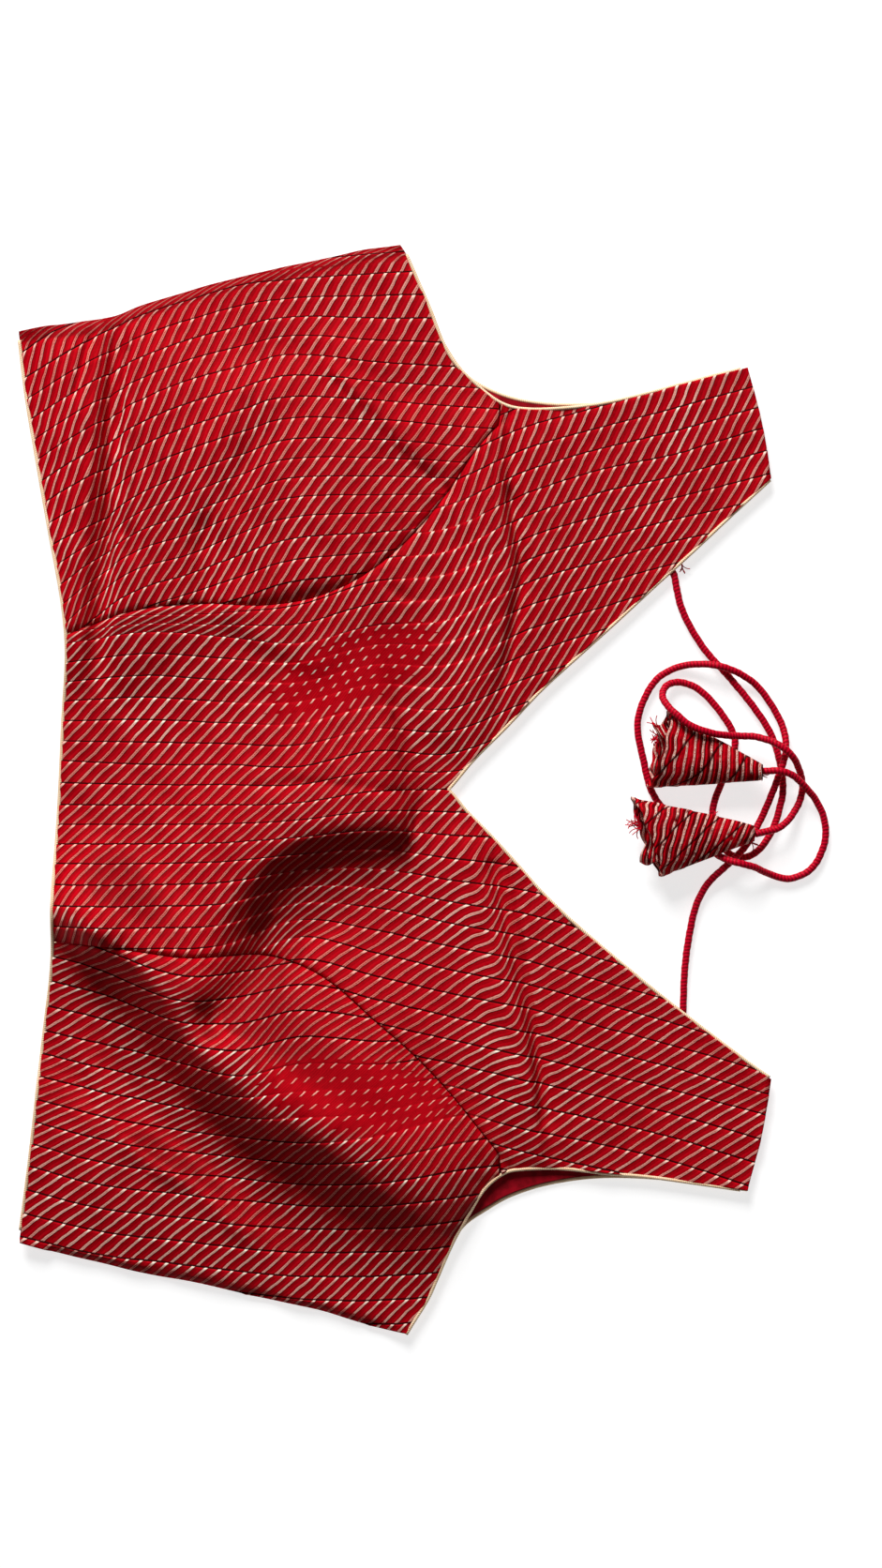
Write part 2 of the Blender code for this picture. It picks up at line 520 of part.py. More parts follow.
def slab(name, outline, floor, wall, colour):
    """A flat piece of cloth from its outline."""
    bm = bmesh.new()
    verts = [bm.verts.new((x * MM, y * MM, floor * MM)) for x, y in outline]
    face = bm.faces.new(verts)
    raised = bmesh.ops.extrude_face_region(bm, geom=[face])
    for vert in raised["geom"]:
        if isinstance(vert, bmesh.types.BMVert):
            vert.co.z += wall * MM
    bmesh.ops.recalc_face_normals(bm, faces=bm.faces)
    return finish(bm, name, colour)


def between(points, first, last, column=0):
    """The points whose first or second number lies in a range."""
    return points[(points[:, column] > first) & (points[:, column] < last)]


def make_back():
    """The two halves of the back with their piping, and the lining on each."""
    centre = V_POINT[1]
    piped = PIPING / 2 + SEAM_GAP
    hem = walked([(x, y) for y, x in HEM], HIDDEN_STEP, -PIPED_INSET)
    neck_paths = []
    for side, edge, armhole, neck, sign in (("right", SIDE_RIGHT, BACK_ARMHOLE_RIGHT, BACK_NECK_RIGHT, 1),
                                            ("left", SIDE_LEFT, BACK_ARMHOLE_LEFT, BACK_NECK_LEFT, -1)):
        start = np.array([[np.interp(centre, hem[:, 1], hem[:, 0]), centre + sign * SEAM_GAP / 2]])
        hem_edge = hem[(hem[:, 1] - centre) * sign > HIDDEN_STEP / 2][::sign]
        side_edge = between(walked(edge, HIDDEN_STEP, -sign * BACK_INSET), -150, armhole[0][0] - 4)
        limit = np.interp(hem_edge[:, 0], side_edge[:, 0], side_edge[:, 1])
        hem_edge = hem_edge[(limit - hem_edge[:, 1]) * sign > 2]
        corner = np.array([[np.interp(side_edge[0, 1], hem[:, 1], hem[:, 0]), side_edge[0, 1] - sign * 2.2]])
        arm_edge = between(walked(armhole, PIPING_STEP, -sign * PIPED_INSET), armhole[0][0], BACK_END)
        neck_edge = between(walked(neck, PIPING_STEP, sign * PIPED_INSET), -99, BACK_END)
        neck_start = np.array([[neck_edge[0, 0], centre + sign * SEAM_GAP / 2]])
        outline = np.vstack([start, hem_edge, corner, side_edge, arm_edge, neck_edge[::-1], neck_start])
        slab("back_" + side, outline, 0.0, BACK_WALL, "back_silk")
        tucked = -sign * LINING_TUCKED
        slab("back_lining_" + side, np.vstack([
            start + [[LINING_TUCKED, 0]], hem_edge + [[LINING_TUCKED, 0]], beside(side_edge, tucked)[1:-1],
            beside(arm_edge, tucked)[:-1], beside(neck_edge, -tucked)[::-1][1:],
            neck_start - [[LINING_TUCKED, 0]]]), LINING_FLOOR, LINING_WALL, "lining")
        make_tube("piping_armhole_back_" + side, with_height(beside(arm_edge, sign * piped), PIPING / 2), PIPING,
                  "piping", 1)
        neck_paths.append(beside(neck_edge, -sign * piped))
    whole_neck = np.vstack([neck_paths[0][::-1], neck_paths[1]])
    make_tube("piping_neck_back", with_height(whole_neck, PIPING / 2), PIPING, "piping", 1)
    hem_path = between(walked([(x, y) for y, x in HEM], HIDDEN_STEP, -PIPING / 2), -190, 192, column=1)
    make_tube("piping_hem_back", with_height(hem_path, PIPING / 2), PIPING, "piping", 1)


def with_height(points, height):
    return [(x, y, height) for x, y in points]


def make_tube(name, points, diameter, colour, resolution):
    """A round tube along points, with closed ends."""
    curve = bpy.data.curves.new(name, "CURVE")
    curve.dimensions = "3D"
    curve.bevel_depth = diameter / 2 * MM
    curve.bevel_resolution = resolution
    curve.use_fill_caps = True
    spline = curve.splines.new("POLY")
    spline.points.add(len(points) - 1)
    for point, place in zip(spline.points, points):
        point.co = (place[0] * MM, place[1] * MM, place[2] * MM, 1)
    curve.materials.append(material(colour))
    tube = bpy.data.objects.new(name, curve)
    bpy.context.collection.objects.link(tube)
    return tube


def over_front(points, inward):
    """Heights for a piping that runs beside the front's edge: the edge's own height, half way up its wall."""
    p = np.array(points, float)
    z = np.maximum(front_floor(p[:, 0] + inward[0], p[:, 1] + inward[1]), FRONT_FLOOR) + WALL / 2
    return [(x, y, h) for (x, y), h in zip(p, z)]


def front_edge(table, rows, inset):
    """A front edge's own points, one on each row."""
    return np.stack([rows, line_at(table, rows, inset)], axis=1)


def make_front_piping():
    """Gold piping along the front's open edges, point beside point with the cloth's own edge."""
    half = PIPING / 2
    piped = half + SEAM_GAP
    hem = between(walked([(x, y) for y, x in HEM], HIDDEN_STEP, -half), -199.5, 201.5, column=1)
    make_tube("piping_hem_front", over_front(hem, (half, 0)), PIPING, "piping", 1)
    rows = front_rows()
    arm_rows = rows[(rows >= SIDE_CORNER) & (rows < STRAP_END)]
    arm_right = beside(front_edge(ARMHOLE_RIGHT, arm_rows, -PIPED_INSET), piped)
    arm_left = beside(front_edge(ARMHOLE_LEFT, arm_rows, PIPED_INSET), -piped)
    make_tube("piping_armhole_front_right", over_front(arm_right, (0, -half)), PIPING, "piping", 1)
    make_tube("piping_armhole_front_left", over_front(arm_left, (0, half)), PIPING, "piping", 1)
    neck_rows = rows[(rows > NOTCH + 0.1)]
    right = front_edge(NECK_RIGHT, neck_rows, PIPED_INSET)
    left = front_edge(NECK_LEFT, neck_rows, -PIPED_INSET)
    neck = beside(np.vstack([right[::-1], [[NOTCH, V_POINT[1]]], left]), piped)
    make_tube("piping_neck_front", over_front(neck, (-half, 0)), PIPING, "piping", 1)


def smooth_route(points, step):
    """A smooth curve through a cord's own points, read again at even steps of its length."""
    p = np.array(points, float)
    chord = np.concatenate([[0], np.cumsum(np.sqrt(np.linalg.norm(np.diff(p, axis=0), axis=1)))])
    fine = np.linspace(0, chord[-1], 2000)
    curve = np.stack([smooth_at(chord, p[:, n], fine) for n in range(3)], axis=1)
    length = np.concatenate([[0], np.cumsum(np.linalg.norm(np.diff(curve, axis=0), axis=1))])
    even = np.linspace(0, length[-1], int(round(length[-1] / step)) + 1)
    return np.stack([np.interp(even, length, curve[:, n]) for n in range(3)], axis=1)


def make_cords():
    for name, route in (("dori_right", DORI_RIGHT_ROUTE), ("dori_left", DORI_LEFT_ROUTE)):
        make_tube(name, smooth_route(route, CORD_STEP), CORD, "dori", 2)


def make_cones():
    """Hollow cones of folded cloth, open at the mouth and closed at the tip."""
    for name, cone in CONES.items():
        c = dict(zip(CONE_COLUMNS, cone))
        mouth, tip = np.array(c["mouth"]), np.array(c["tip"])
        bm = bmesh.new()
        bmesh.ops.create_cone(bm, cap_ends=True, segments=CONE_SIDES, radius1=1.0, radius2=0.5, depth=1.0)
        bmesh.ops.delete(bm, geom=[f for f in bm.faces if f.calc_center_median().z < -0.49], context="FACES_ONLY")
        long_edges = [e for e in bm.edges if abs(e.verts[0].co.z - e.verts[1].co.z) > 0.9]
        bmesh.ops.subdivide_edges(bm, edges=long_edges, cuts=CONE_CUTS)
        for vert in bm.verts:
            f = vert.co.z + 0.5
            size = 1 - f / 2
            half = [a + (b - a) * f for a, b in zip(c["mouth_half"], c["tip_half"])]
            across, up = vert.co.x / size * half[0], vert.co.y / size * half[1]
            lean = c["lean"] * across / c["mouth_half"][0] * (1 - f)
            middle = mouth + (tip - mouth) * f
            vert.co = ((middle[0] + lean) * MM, (middle[1] + across) * MM, (middle[2] + up) * MM)
        bmesh.ops.recalc_face_normals(bm, faces=bm.faces)
        bmesh.ops.solidify(bm, geom=bm.faces[:], thickness=-CONE_WALL * MM)
        bmesh.ops.recalc_face_normals(bm, faces=bm.faces)
        finish(bm, name, "silk", smooth=True)


def main():
    for thing in list(bpy.data.objects):
        bpy.data.objects.remove(thing, do_unlink=True)
    make_front()
    make_front_piping()
    make_back()
    make_cords()
    make_cones()


main()
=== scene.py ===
"""Sari blouse laid flat with its front up: red silk in fine tucks with slanting gold stripes, gold piping,
tie cords and cloth cones. Everything is in the row frame, in metres; tables and named sizes are in
millimetres."""
import math
import random

import bmesh
import bpy
import numpy as np
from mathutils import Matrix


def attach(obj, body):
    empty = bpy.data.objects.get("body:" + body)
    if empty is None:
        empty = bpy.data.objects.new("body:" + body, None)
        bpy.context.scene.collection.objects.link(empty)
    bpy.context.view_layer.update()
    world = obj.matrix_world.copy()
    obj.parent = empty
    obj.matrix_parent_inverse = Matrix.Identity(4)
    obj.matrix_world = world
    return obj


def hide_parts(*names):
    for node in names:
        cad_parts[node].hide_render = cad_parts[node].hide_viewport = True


MM = 0.001
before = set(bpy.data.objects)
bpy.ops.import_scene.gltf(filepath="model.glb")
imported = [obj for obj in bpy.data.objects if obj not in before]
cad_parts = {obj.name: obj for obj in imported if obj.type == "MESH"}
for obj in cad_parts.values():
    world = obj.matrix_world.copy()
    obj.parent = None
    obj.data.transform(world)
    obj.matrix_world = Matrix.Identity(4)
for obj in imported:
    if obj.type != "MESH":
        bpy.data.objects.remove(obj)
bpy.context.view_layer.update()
random.seed(11)

# Cloth, piping and cord sizes
WALL = 1.4
SHEET = 1.0
SEAM_GAP = 0.3
TUCK_RELIEF = 0.85
RIPPLE = 0.35
PIPING = 1.6
PIPED_INSET = 0.6 * PIPING
PIPING_LIFT = 0.5
BACK_WALL = 1.2
LINING_WALL = 1.0
LINING_FLOOR = BACK_WALL + SEAM_GAP
FRONT_FLOOR = LINING_FLOOR + LINING_WALL + SEAM_GAP
SIDE_ROLL = 3.5
# How far the front's underside takes to rise on to the lining, and where it starts to at the straps
CORNER_LIFT = 16.0
STRAP_RISE_FROM = -10.2
SIDE_FLOOR = 0.3
BACK_INSET = 6.5
LINING_TUCKED = 1.0
CORD = 3.2
# How finely smooth curves are worked out, and the steps along which places beside a line are found
FINE_STEP = 0.5
FOLD_STEP = 5.0
CREASE_STEP = 3.0
SEAM_STEP = 2.0
TUCK_PITCH = 9.5

# Outlines, each a list of (x, y) read along the edge from the hem or armhole towards the shoulder
SIDE_RIGHT = [
    (-172, 203.5), (-152, 207.5), (-137, 209.5), (-125, 211.8), (-114, 216.3), (-100, 220.5),
    (-87, 224.5), (-51, 233.3), (-32, 237.2), (-14, 241.3), (4, 243.3), (12, 244.3)
]
SIDE_LEFT = [
    (-173, -202.5), (-154, -208), (-135, -212.6), (-107, -219.2), (-93, -221.5), (-63, -228.3),
    (-34, -234.6), (-9, -242), (6, -245), (12, -245.8)
]
ARMHOLE_RIGHT = [
    (-2, 257), (4, 243.3), (12, 225), (16.5, 214.5), (23, 198), (28, 190), (36, 182), (46, 174),
    (52, 171.3), (60, 170.2), (71, 170.4), (91, 172.5), (106, 175.6), (128, 181.4), (140, 184.6),
    (162, 190)
]
ARMHOLE_LEFT = [
    (0, -256), (6, -245), (16, -228.5), (19.5, -220.5), (27, -203.5), (33.8, -191.4), (41.4, -179.6),
    (50.4, -173), (58, -171.8), (75, -171.6), (94, -173.7), (112, -175.2), (137, -178.6), (162, -182.3)
]
NECK_RIGHT = [
    (15, -11), (25, -1), (36, 12), (50, 26), (66.6, 43.5), (83.4, 58.8), (100.2, 74), (117, 89.6),
    (134, 105), (150.6, 120.6), (172, 140.2)
]
NECK_LEFT = [
    (15, 9), (25, -1), (33, -10.5), (40.5, -18), (54, -32.5), (66, -46), (77.5, -57.2), (90.6, -68.7),
    (104, -79.9), (117.5, -91), (131, -101.7), (144, -111.6), (157.5, -121.7), (172, -132)
]
SEAM_RIGHT = [
    (-160, 62), (-146, 68), (-129, 75), (-114, 79), (-89, 82), (-59, 81), (-38, 84), (-22, 90), (-9, 98),
    (8, 113), (25, 134), (37, 152), (52, 168)
]
SEAM_LEFT = [
    (-165, -68), (-152, -69), (-135, -70), (-114, -72), (-93, -75), (-59, -75), (-43, -79), (-30, -86),
    (-9, -104), (8, -119), (25, -137), (37, -152), (52, -171)
]
V_POINT = (25, -1)
HEM_CORNER = -148.0
SIDE_CORNER = 4.0
NOTCH = 21.6
SEAM_END = 46.5
STRAP_END = 160.0
BACK_END = 164.5

# Ends, as (y, x) from the wearer's left to the right
HEM = [
    (-201, -169), (-160, -163.4), (-109, -157.8), (-78, -154), (-34, -152), (4, -150), (33, -148.8),
    (63, -147), (80, -148.5), (117, -155.4), (143, -160.2), (176, -166), (203, -169.5)
]
HEM_POINTS = [(x, y) for y, x in HEM]
SHOULDER_RIGHT = [(130, 169.5), (135, 169), (161, 165), (188, 158), (194, 156)]
SHOULDER_LEFT = [(-187, 157), (-181, 158), (-158, 164), (-128, 169), (-123, 169.5)]

# The back under the front
BACK_ARMHOLE_RIGHT = [
    (-6, 237), (6, 232), (14, 217), (24, 197), (33, 185), (41.5, 179.8), (50, 176.3), (58, 174.3),
    (72, 172.7), (84, 172.6), (96, 173.2), (106, 175), (128, 180.6), (140, 183.8), (158, 188)
]
BACK_ARMHOLE_LEFT = [
    (-4, -238), (8, -233), (16, -221.5), (25, -206), (32, -196.5), (41.5, -190), (50, -185),
    (61.7, -180.6), (70, -178.5), (83.5, -176.3), (96, -175.5), (112, -175.9), (134, -178), (158, -181.5)
]
BACK_NECK_RIGHT = [
    (-55, -1), (-54, 14), (-46, 30), (-30, 42), (0, 52), (40, 62), (80, 76), (117, 94.5), (150, 123),
    (168, 139.5)
]
BACK_NECK_LEFT = [
    (-55, -1), (-54, -16), (-46, -32), (-30, -44), (0, -56), (40, -68), (80, -82), (117, -98),
    (150, -119), (168, -131)
]

# Tucks: x of the stations; guide tucks, counted down the picture, with their y at each station; and how far
# the stripes slant at a tuck, in stripes, as (tuck, slant)
CENTRE = (
    [-152, -110, -76, -43, -9, 25, 58, 92, 125, 159],
    {
        -16: [101, 101, 107, 126, 147, 157, 171, 180, 190, 199],
        -12: [84, 84, 88, 98, 111, 116, 131, 142, 149, 159],
        -8: [63, 69, 67, 64, 72, 75, 91, 101, 110, 117],
        -5: [38, 40, 38, 38, 46, 45, 59, 70, 80, 86],
        -2: [12, 10, 10, 9, 16, 15, 27, 38, 48, 56],
        0: [-8, -8, -8, -7, -2, -1, 1, 2, 4, 6],
        3: [-34, -34, -33, -30, -28, -32, -36, -44, -51, -57],
        6: [-62, -62, -61, -52, -54, -61, -67, -77, -86, -95],
        8: [-80, -80, -79, -67, -74, -82, -88, -97, -106, -116],
        11: [-106, -106, -105, -97, -105, -113, -120, -128, -136, -145],
        14: [-135, -135, -134, -126, -137, -144, -153, -160, -168, -179],
        17: [-164, -164, -163, -156, -168, -175, -184, -193, -200, -212],
    },
    [(-17, 1.0), (-8, 1.4), (0, 1.6), (8, 1.9), (17, 2.1)],
)
FLANK_RIGHT = (
    [-169, -152, -131, -114, -93, -68, -51, -9, 33],
    {
        -2: [205, 218, 224, 231, 235, 242, 245, 248, 252],
        0: [181, 191, 203, 211, 218, 225, 227, 230, 232],
        4: [140, 151, 163, 172, 181, 188, 193, 190, 188],
        8: [97, 108, 119, 130, 139, 148, 154, 155, 152],
        12: [59, 68, 87, 97, 103, 113, 119, 122, 124],
        15: [29, 40, 59, 69, 77, 84, 90, 96, 105],
    },
    [(-3, 0.9), (6, 1.0), (10, 1.15), (16, 1.2)],
)
FLANK_LEFT = (
    [-169, -135, -93, -68, -43, -9, 25, 50],
    {
        -2: [-42, -49, -61, -61, -59, -63, -70, -74],
        1: [-72, -80, -94, -93, -88, -93, -99, -103],
        4: [-106, -114, -123, -127, -122, -123, -120, -118],
        7: [-137, -146, -154, -156, -157, -154, -147, -143],
        10: [-168, -177, -182, -185, -187, -186, -183, -182],
        13: [-201, -209, -214, -217, -219, -219, -217, -214],
        16: [-233, -240, -244, -247, -250, -252, -249, -246],
    },
    [(-3, 2.2), (4, 2.4), (8, 2.2), (11, 1.9), (16, 1.8)],
)

# Domes that lift the front: place, turn in degrees, reach each way, height, and how square the dome is
DOME_COLUMNS = ("x", "y", "turn", "left", "right", "up", "down", "height", "square")
DOMES = {
    "right_cup": (-36, 90, 0, 80, 60, 108, 76, 11, 1.25),
    "left_cup": (-22, -118, -30, 70, 62, 50, 44, 9, 1.4),
    "hem_rise": (-152, 0, 0, 60, 70, 125, 125, 7.5, 1.0),
    "right_flank": (-85, 165, 0, 80, 70, 50, 60, 4, 1.0),
    "left_flank": (-110, -172, -35, 90, 105, 14, 66, 7, 1.0),
}
# Troughs pressed into the front: depth, half width, and the line each follows
TROUGHS = {
    "hem_fold_second": (1.4, 2.2, [(-112, 205), (-113, 160), (-117, 104)]),
    "flank_fold_upper": (1.8, 6.0, [(-55, 201), (-23, 188), (6, 177)]),
    "flank_fold_lower": (2.0, 5.0, [
        (-62, 168), (-67, 147), (-76, 128), (-84, 115), (-85.5, 100), (-86, 84)
    ]),
    "v_fold": (3.5, 2.2, [(12, -4), (10, -9), (8, -18), (6, -26), (6, -37), (5.5, -45)]),
    "under_ridge": (9.0, 9.0, [
        (-80, -103), (-69, -92), (-63, -82), (-57, -72), (-52, -67), (-39, -58), (-21, -54), (-4, -47),
        (5, -40)
    ]),
}
# Folds that stand up along a line: height, reach of the steep side (left of travel) at the line's start and
# at its end, reach of the other side, share of the line over which its ends rise, line
FOLDS = {
    "centre_ridge": (17.0, 17.0, 14.0, 44.0, 0.12, [
        (16, -8), (6, -10), (-12, -12), (-33, -16), (-50, -23), (-62, -32), (-71, -43), (-79, -58),
        (-84, -73), (-87, -90), (-91, -108)
    ]),
    "left_cup_edge": (26.0, 34.0, 13.0, 31.0, 0.16, [
        (76, -232), (44, -206), (18, -184), (-10, -167), (-28, -155), (-52, -140), (-70, -125),
        (-91, -100), (-110, -76), (-136, -58), (-172, -42)
    ]),
    "bust_fold_right": (5.0, 5.0, 5.0, 18.0, 0.25, [
        (27, 132), (22, 138), (5, 153), (-10, 169), (-23, 184), (-43, 201)
    ]),
    "cup_side": (4.0, 8.0, 8.0, 30.0, 0.25, [
        (-52, 190), (-62, 173), (-72, 157), (-78, 140), (-82, 120), (-86, 100)
    ]),
    "under_right_cup": (2.5, 7.0, 7.0, 18.0, 0.22, [
        (-16, 48), (-34, 54), (-48, 61), (-62, 70), (-76, 78), (-90, 82)
    ]),
    "hem_fold_near": (7.0, 5.5, 5.5, 26.0, 0.22, [
        (-133, 235), (-134.5, 200), (-136, 150), (-139, 98), (-141, 60), (-142, 30)
    ]),
    "hem_fold_far": (7.0, 5.5, 5.5, 30.0, 0.22, [
        (-125, 30), (-124, 60), (-122, 98), (-119, 150), (-117, 200), (-116, 235)
    ]),
    "lower_second": (3.5, 5.0, 5.0, 9.0, 0.22, [
        (-50, -216), (-70, -196), (-88, -178), (-112, -164), (-127, -146), (-136, -124), (-140, -98)
    ]),
    "strap_left_near": (8.0, 5.0, 5.0, 22.0, 0.1, [
        (40, -8), (46, -40), (51, -64), (54, -84), (57, -104), (60, -128), (62, -148), (66, -190)
    ]),
    "strap_left_far": (3.0, 5.0, 5.0, 24.0, 0.1, [
        (75, -190), (72, -146), (70, -128), (67, -104), (64, -84), (61, -64), (57, -40), (51, -10)
    ]),
    "strap_right_near": (6.0, 4.5, 4.5, 24.0, 0.1, [
        (44, 180), (46, 134), (47, 121), (51, 100), (49, 83), (45, 61), (36, 8)
    ]),
    "strap_right_far": (3.0, 5.0, 5.0, 24.0, 0.1, [
        (48, 16), (57, 61), (61, 83), (62, 100), (58, 121), (56, 180)
    ]),
}
# How fast a dome falls off
DOME_FALL = 1.4
# How sharply folds that meet keep to the higher one
FOLD_JOIN = 3
# How far in from the sides and from the armholes and neck the front takes to rise
SIDE_REACH = 20.0
OPENING_REACH = 22.0
# How high the front has to stand before a trough presses in to its full depth
PRESS_FULL = 6.0
# Along the princess seams, as (size, half width): puckers, dips, and the share of the tucks' rise that is lost
PUCKER = (0.35, 5.0)
SEAM_DIPS = [(0.9, 0.9), (0.2, 3.2)]
TUCK_FLATTENED = (0.8, 1.2)
# How much of a tuck's rise is lost where the stripes are dots
DOTTED_FLATTENED = 0.75
# The depth that a crease may always have, even where the front lies low
CREASE_LEAST = 0.5

# Places where the stripes shrink to dots at the tucks' lips: (x, y, half length, half width, turn)
DOTTED = [(-19, 52, 46, 18, 25), (-16, -136, 50, 18, -10)]
# Places where the painted shade at the tucks' feet hardly shows
SOFT_TUCKS = [
    (26, 86, 28, 46, 0), (-24, 46, 56, 26, 6), (-14, -140, 56, 20, -10), (-28, -40, 46, 15, 22),
    (-60, -60, 22, 18, 40)
]
# Share of an oval place that it fills in full, and over which it fades
PATCH_FULL = 0.55
PATCH_FADE = 0.6
# Places painted with a highlight on the gold, and by how much
PAINTED_HIGHLIGHTS = [
    (-66, -127, 34, 9, -57), (-116, 37, 28, 11, -48), (129, 166, 20, 7, 80), (-124, -139, 20, 10, -45)
]
PAINTED_HIGHLIGHTS_GAIN = 0.45
# Painted light on the gold from the cloth's lean: level, with a lean to the picture's bottom, and with a lean
# to the hem's side
GLINT_LEVEL = 0.46
GLINT_TO_BOTTOM = 1.5
GLINT_TO_HEM = 0.35
# How far to each side heights are read to give the lean, and the lean from which, and over which, painted shade
# darkens the silk
LEAN_REACH = 1.5
STEEP_FROM = 0.2
STEEP_RANGE = 0.4
# Narrow creases pressed into the face: depth, half width, and the line each follows
CREASES = {
    "hem_upper": (4.0, 1.6, [
        (-124, 208), (-125.5, 196), (-127.5, 180), (-128.5, 155), (-128.5, 128), (-127.5, 98)
    ]),
    "hem_upper_fine": (2.2, 1.1, [(-119, 196), (-121, 180), (-122.5, 155), (-122.5, 130), (-121.5, 112)]),
    "hem_outer": (2.2, 1.8, [(-134, 209), (-137, 199), (-140, 189), (-143, 176)]),
    "hem_inner": (1.6, 1.5, [(-119, 200), (-121, 186), (-123, 168), (-124, 150)]),
    "strap_right": (3.0, 1.5, [
        (51.5, 132), (52.7, 121.6), (55, 110), (56.3, 99.5), (54.7, 83.4), (51.8, 66), (51, 50)
    ]),
    "strap_left": (4.0, 2.8, [
        (44, -36), (47, -48), (50, -60), (53, -73), (56, -88), (60, -106), (64, -126), (67, -148)
    ]),
    "bust_line": (1.5, 1.6, [(-27, 182), (-12, 167), (3, 151), (18, 137), (24, 129)]),
    "cup_rim": (1.2, 3.0, [(-62, 176), (-70, 160), (-78, 142), (-83, 122), (-87, 106)]),
    "v_side": (3.0, 1.6, [(14, -2), (11, -9), (9.5, -14), (6.5, -26), (6, -34), (6, -44)]),
    "cup_corner": (2.0, 1.5, [(-10, 108), (-8, 98), (-3, 90), (4, 84)]),
    "strap_top": (1.2, 4.0, [(158, 152), (150, 134), (143, 118)]),
    "lower_seam": (1.6, 1.5, [(0, -116), (8, -122), (16, -131)]),
    "middle_pinch": (1.2, 1.8, [(-62, 0), (-40, 2), (-14, 0), (6, -3)]),
}

# Places where the stripes bend round a fold: stripes a millimetre, reach to the hem's side and to the
# straps' side, and the line, read down the picture; then the share of each line over which that starts
BENDS = {
    "strap_left": (0.19, 9.0, 4.5, [
        (38, -20), (43, -36), (48, -60), (54, -88), (59, -106), (64, -126), (69, -150)
    ]),
    "hem_upper": (0.167, 4.5, 4.5, [
        (-127, 222), (-129, 196), (-131, 170), (-131, 140), (-131, 112), (-128, 84)
    ]),
    "strap_right": (0.14, 5.0, 5.0, [
        (48, 150), (50, 121.6), (52, 110), (53.3, 99.5), (52.7, 83.4), (50.8, 66), (48, 44)
    ]),
}
BEND_RISE = 0.2
# How far in from the right side seam the stripes turn along the roll and how much, and over what width they
# narrow and take painted shade there and how much
SIDE_TURN = 8.0
SIDE_TURN_SHARE = 0.5
ROLL_WIDTH = 4.0
ROLL_NARROWS = 0.4
ROLL_PAINTED_SHADE = 0.9

# Tie cords: the route's own points (x, y, z), from the sewn end to the cone
DORI_RIGHT_ROUTE = [
    (125.2, 95.3, 2.1), (128.9, 79.6, 2.1), (138.2, 62.8, 2.1), (149.7, 49.8, 2.1), (160.7, 36.3, 2.1),
    (168.6, 24.1, 2.1), (172.6, 12.0, 2.1), (174.1, -1.1, 2.1), (172.8, -8.6, 2.1), (170.3, -17.0, 2.1),
    (166.5, -24.1, 2.1), (161.9, -29.2, 2.1), (156.3, -31.4, 2.1), (149.8, -29.6, 2.1),
    (145.2, -23.0, 2.1), (142.8, -14.1, 2.1), (143.0, -7.8, 2.1), (148.0, 5.7, 2.1), (152.0, 15.0, 2.1),
    (152.2, 23.1, 2.1), (145.8, 34.0, 2.1), (136.7, 43.6, 2.1), (129.0, 47.0, 2.3), (122.6, 46.2, 3.8),
    (119.6, 41.6, 7.2), (121.6, 36.5, 11.8), (125.6, 32.4, 14.6), (131.0, 27.9, 15.0),
    (137.6, 25.2, 14.4), (144.4, 23.6, 12.4), (152.7, 23.0, 8.8), (160.5, 22.7, 8.4), (167.4, 20.8, 10.0),
    (172.4, 18.3, 11.2), (177.4, 14.1, 10.3), (181.2, 7.6, 5.4), (182.9, 0.2, 2.1), (180.8, -7.8, 3.0),
    (173.0, -17.4, 7.2), (161.2, -20.8, 9.4)
]
DORI_LEFT_ROUTE = [
    (129.3, -98.6, 2.1), (129.9, -84.0, 2.1), (131.6, -69.0, 2.1), (135.0, -53.4, 2.2),
    (140.1, -43.5, 2.8), (145.9, -37.4, 4.8), (151.8, -31.9, 6.4), (157.7, -25.4, 4.8),
    (164.2, -14.3, 2.2), (169.0, -2.7, 4.4), (171.6, 4.8, 6.5), (174.1, 12.0, 6.6), (175.2, 19.1, 5.2),
    (173.2, 29.0, 2.4), (163.6, 44.3, 2.3), (154.8, 50.8, 4.5), (145.5, 54.2, 6.4), (136.0, 55.2, 4.2),
    (126.6, 53.8, 2.1), (117.6, 48.6, 2.1), (111.4, 38.5, 2.1), (108.8, 27.5, 2.1), (111.3, 13.0, 2.1),
    (115.6, -2.6, 2.1), (124.6, -14.2, 2.1), (136.0, -23.4, 2.1), (141.6, -28.2, 3.1),
    (147.6, -32.0, 8.9), (153.6, -33.8, 11.4), (160.6, -35.6, 8.6), (167.9, -38.8, 3.6),
    (177.0, -41.0, 2.1), (187.0, -36.4, 2.1), (192.8, -24.8, 2.1), (192.6, -14.2, 2.1),
    (188.8, -5.8, 3.4), (184.0, -0.2, 6.4), (178.4, 4.9, 9.2), (172.4, 7.3, 11.0), (164.0, 7.2, 9.2)
]
CORD_STEP = 1.6
# The cloth's creases on a cord: their depth, and waves as (turn a millimetre, turns round, share)
CORD_WOBBLE = 0.16
CORD_WAVES = [(1.9, 2, 0.5), (0.83, -1, 0.3), (4.1, 3, 0.2)]
# Points of a route before it is read evenly, roundness of a tube, and how near its points are joined, in metres
ROUTE_POINTS = 2000
TUBE_ROUNDNESS = 4
TUBE_MERGE = 0.000005
# Where each cord's sewn end lies hidden under its strap
SEWN = {"dori_right": (123.2, 99.0, 1.9), "dori_left": (129.2, -102.0, 1.9)}

# Cloth cones on the cord ends: mouth and tip as (x, y, z), half width and half height at each
CONE_COLUMNS = ("mouth", "tip", "mouth_half", "tip_half", "lean", "stripe_lean")
CONES = {
    "latkan_upper": ((119.8, 17.4, 7.2), (163.5, 6.9, 9.2), (17.2, 6.9), (2.9, 2.6), 4.6, 0.2),
    "latkan_lower": ((114.2, -22.2, 9.9), (159.8, -20.6, 9.4), (17.6, 5.5), (2.9, 2.6), -6.5, -0.4),
}
CONE_WALL = 1.0
RUFFLE_WALL = 0.5
CONE_LENGTH = 46
CONE_STRIPE_RUN = 3.7
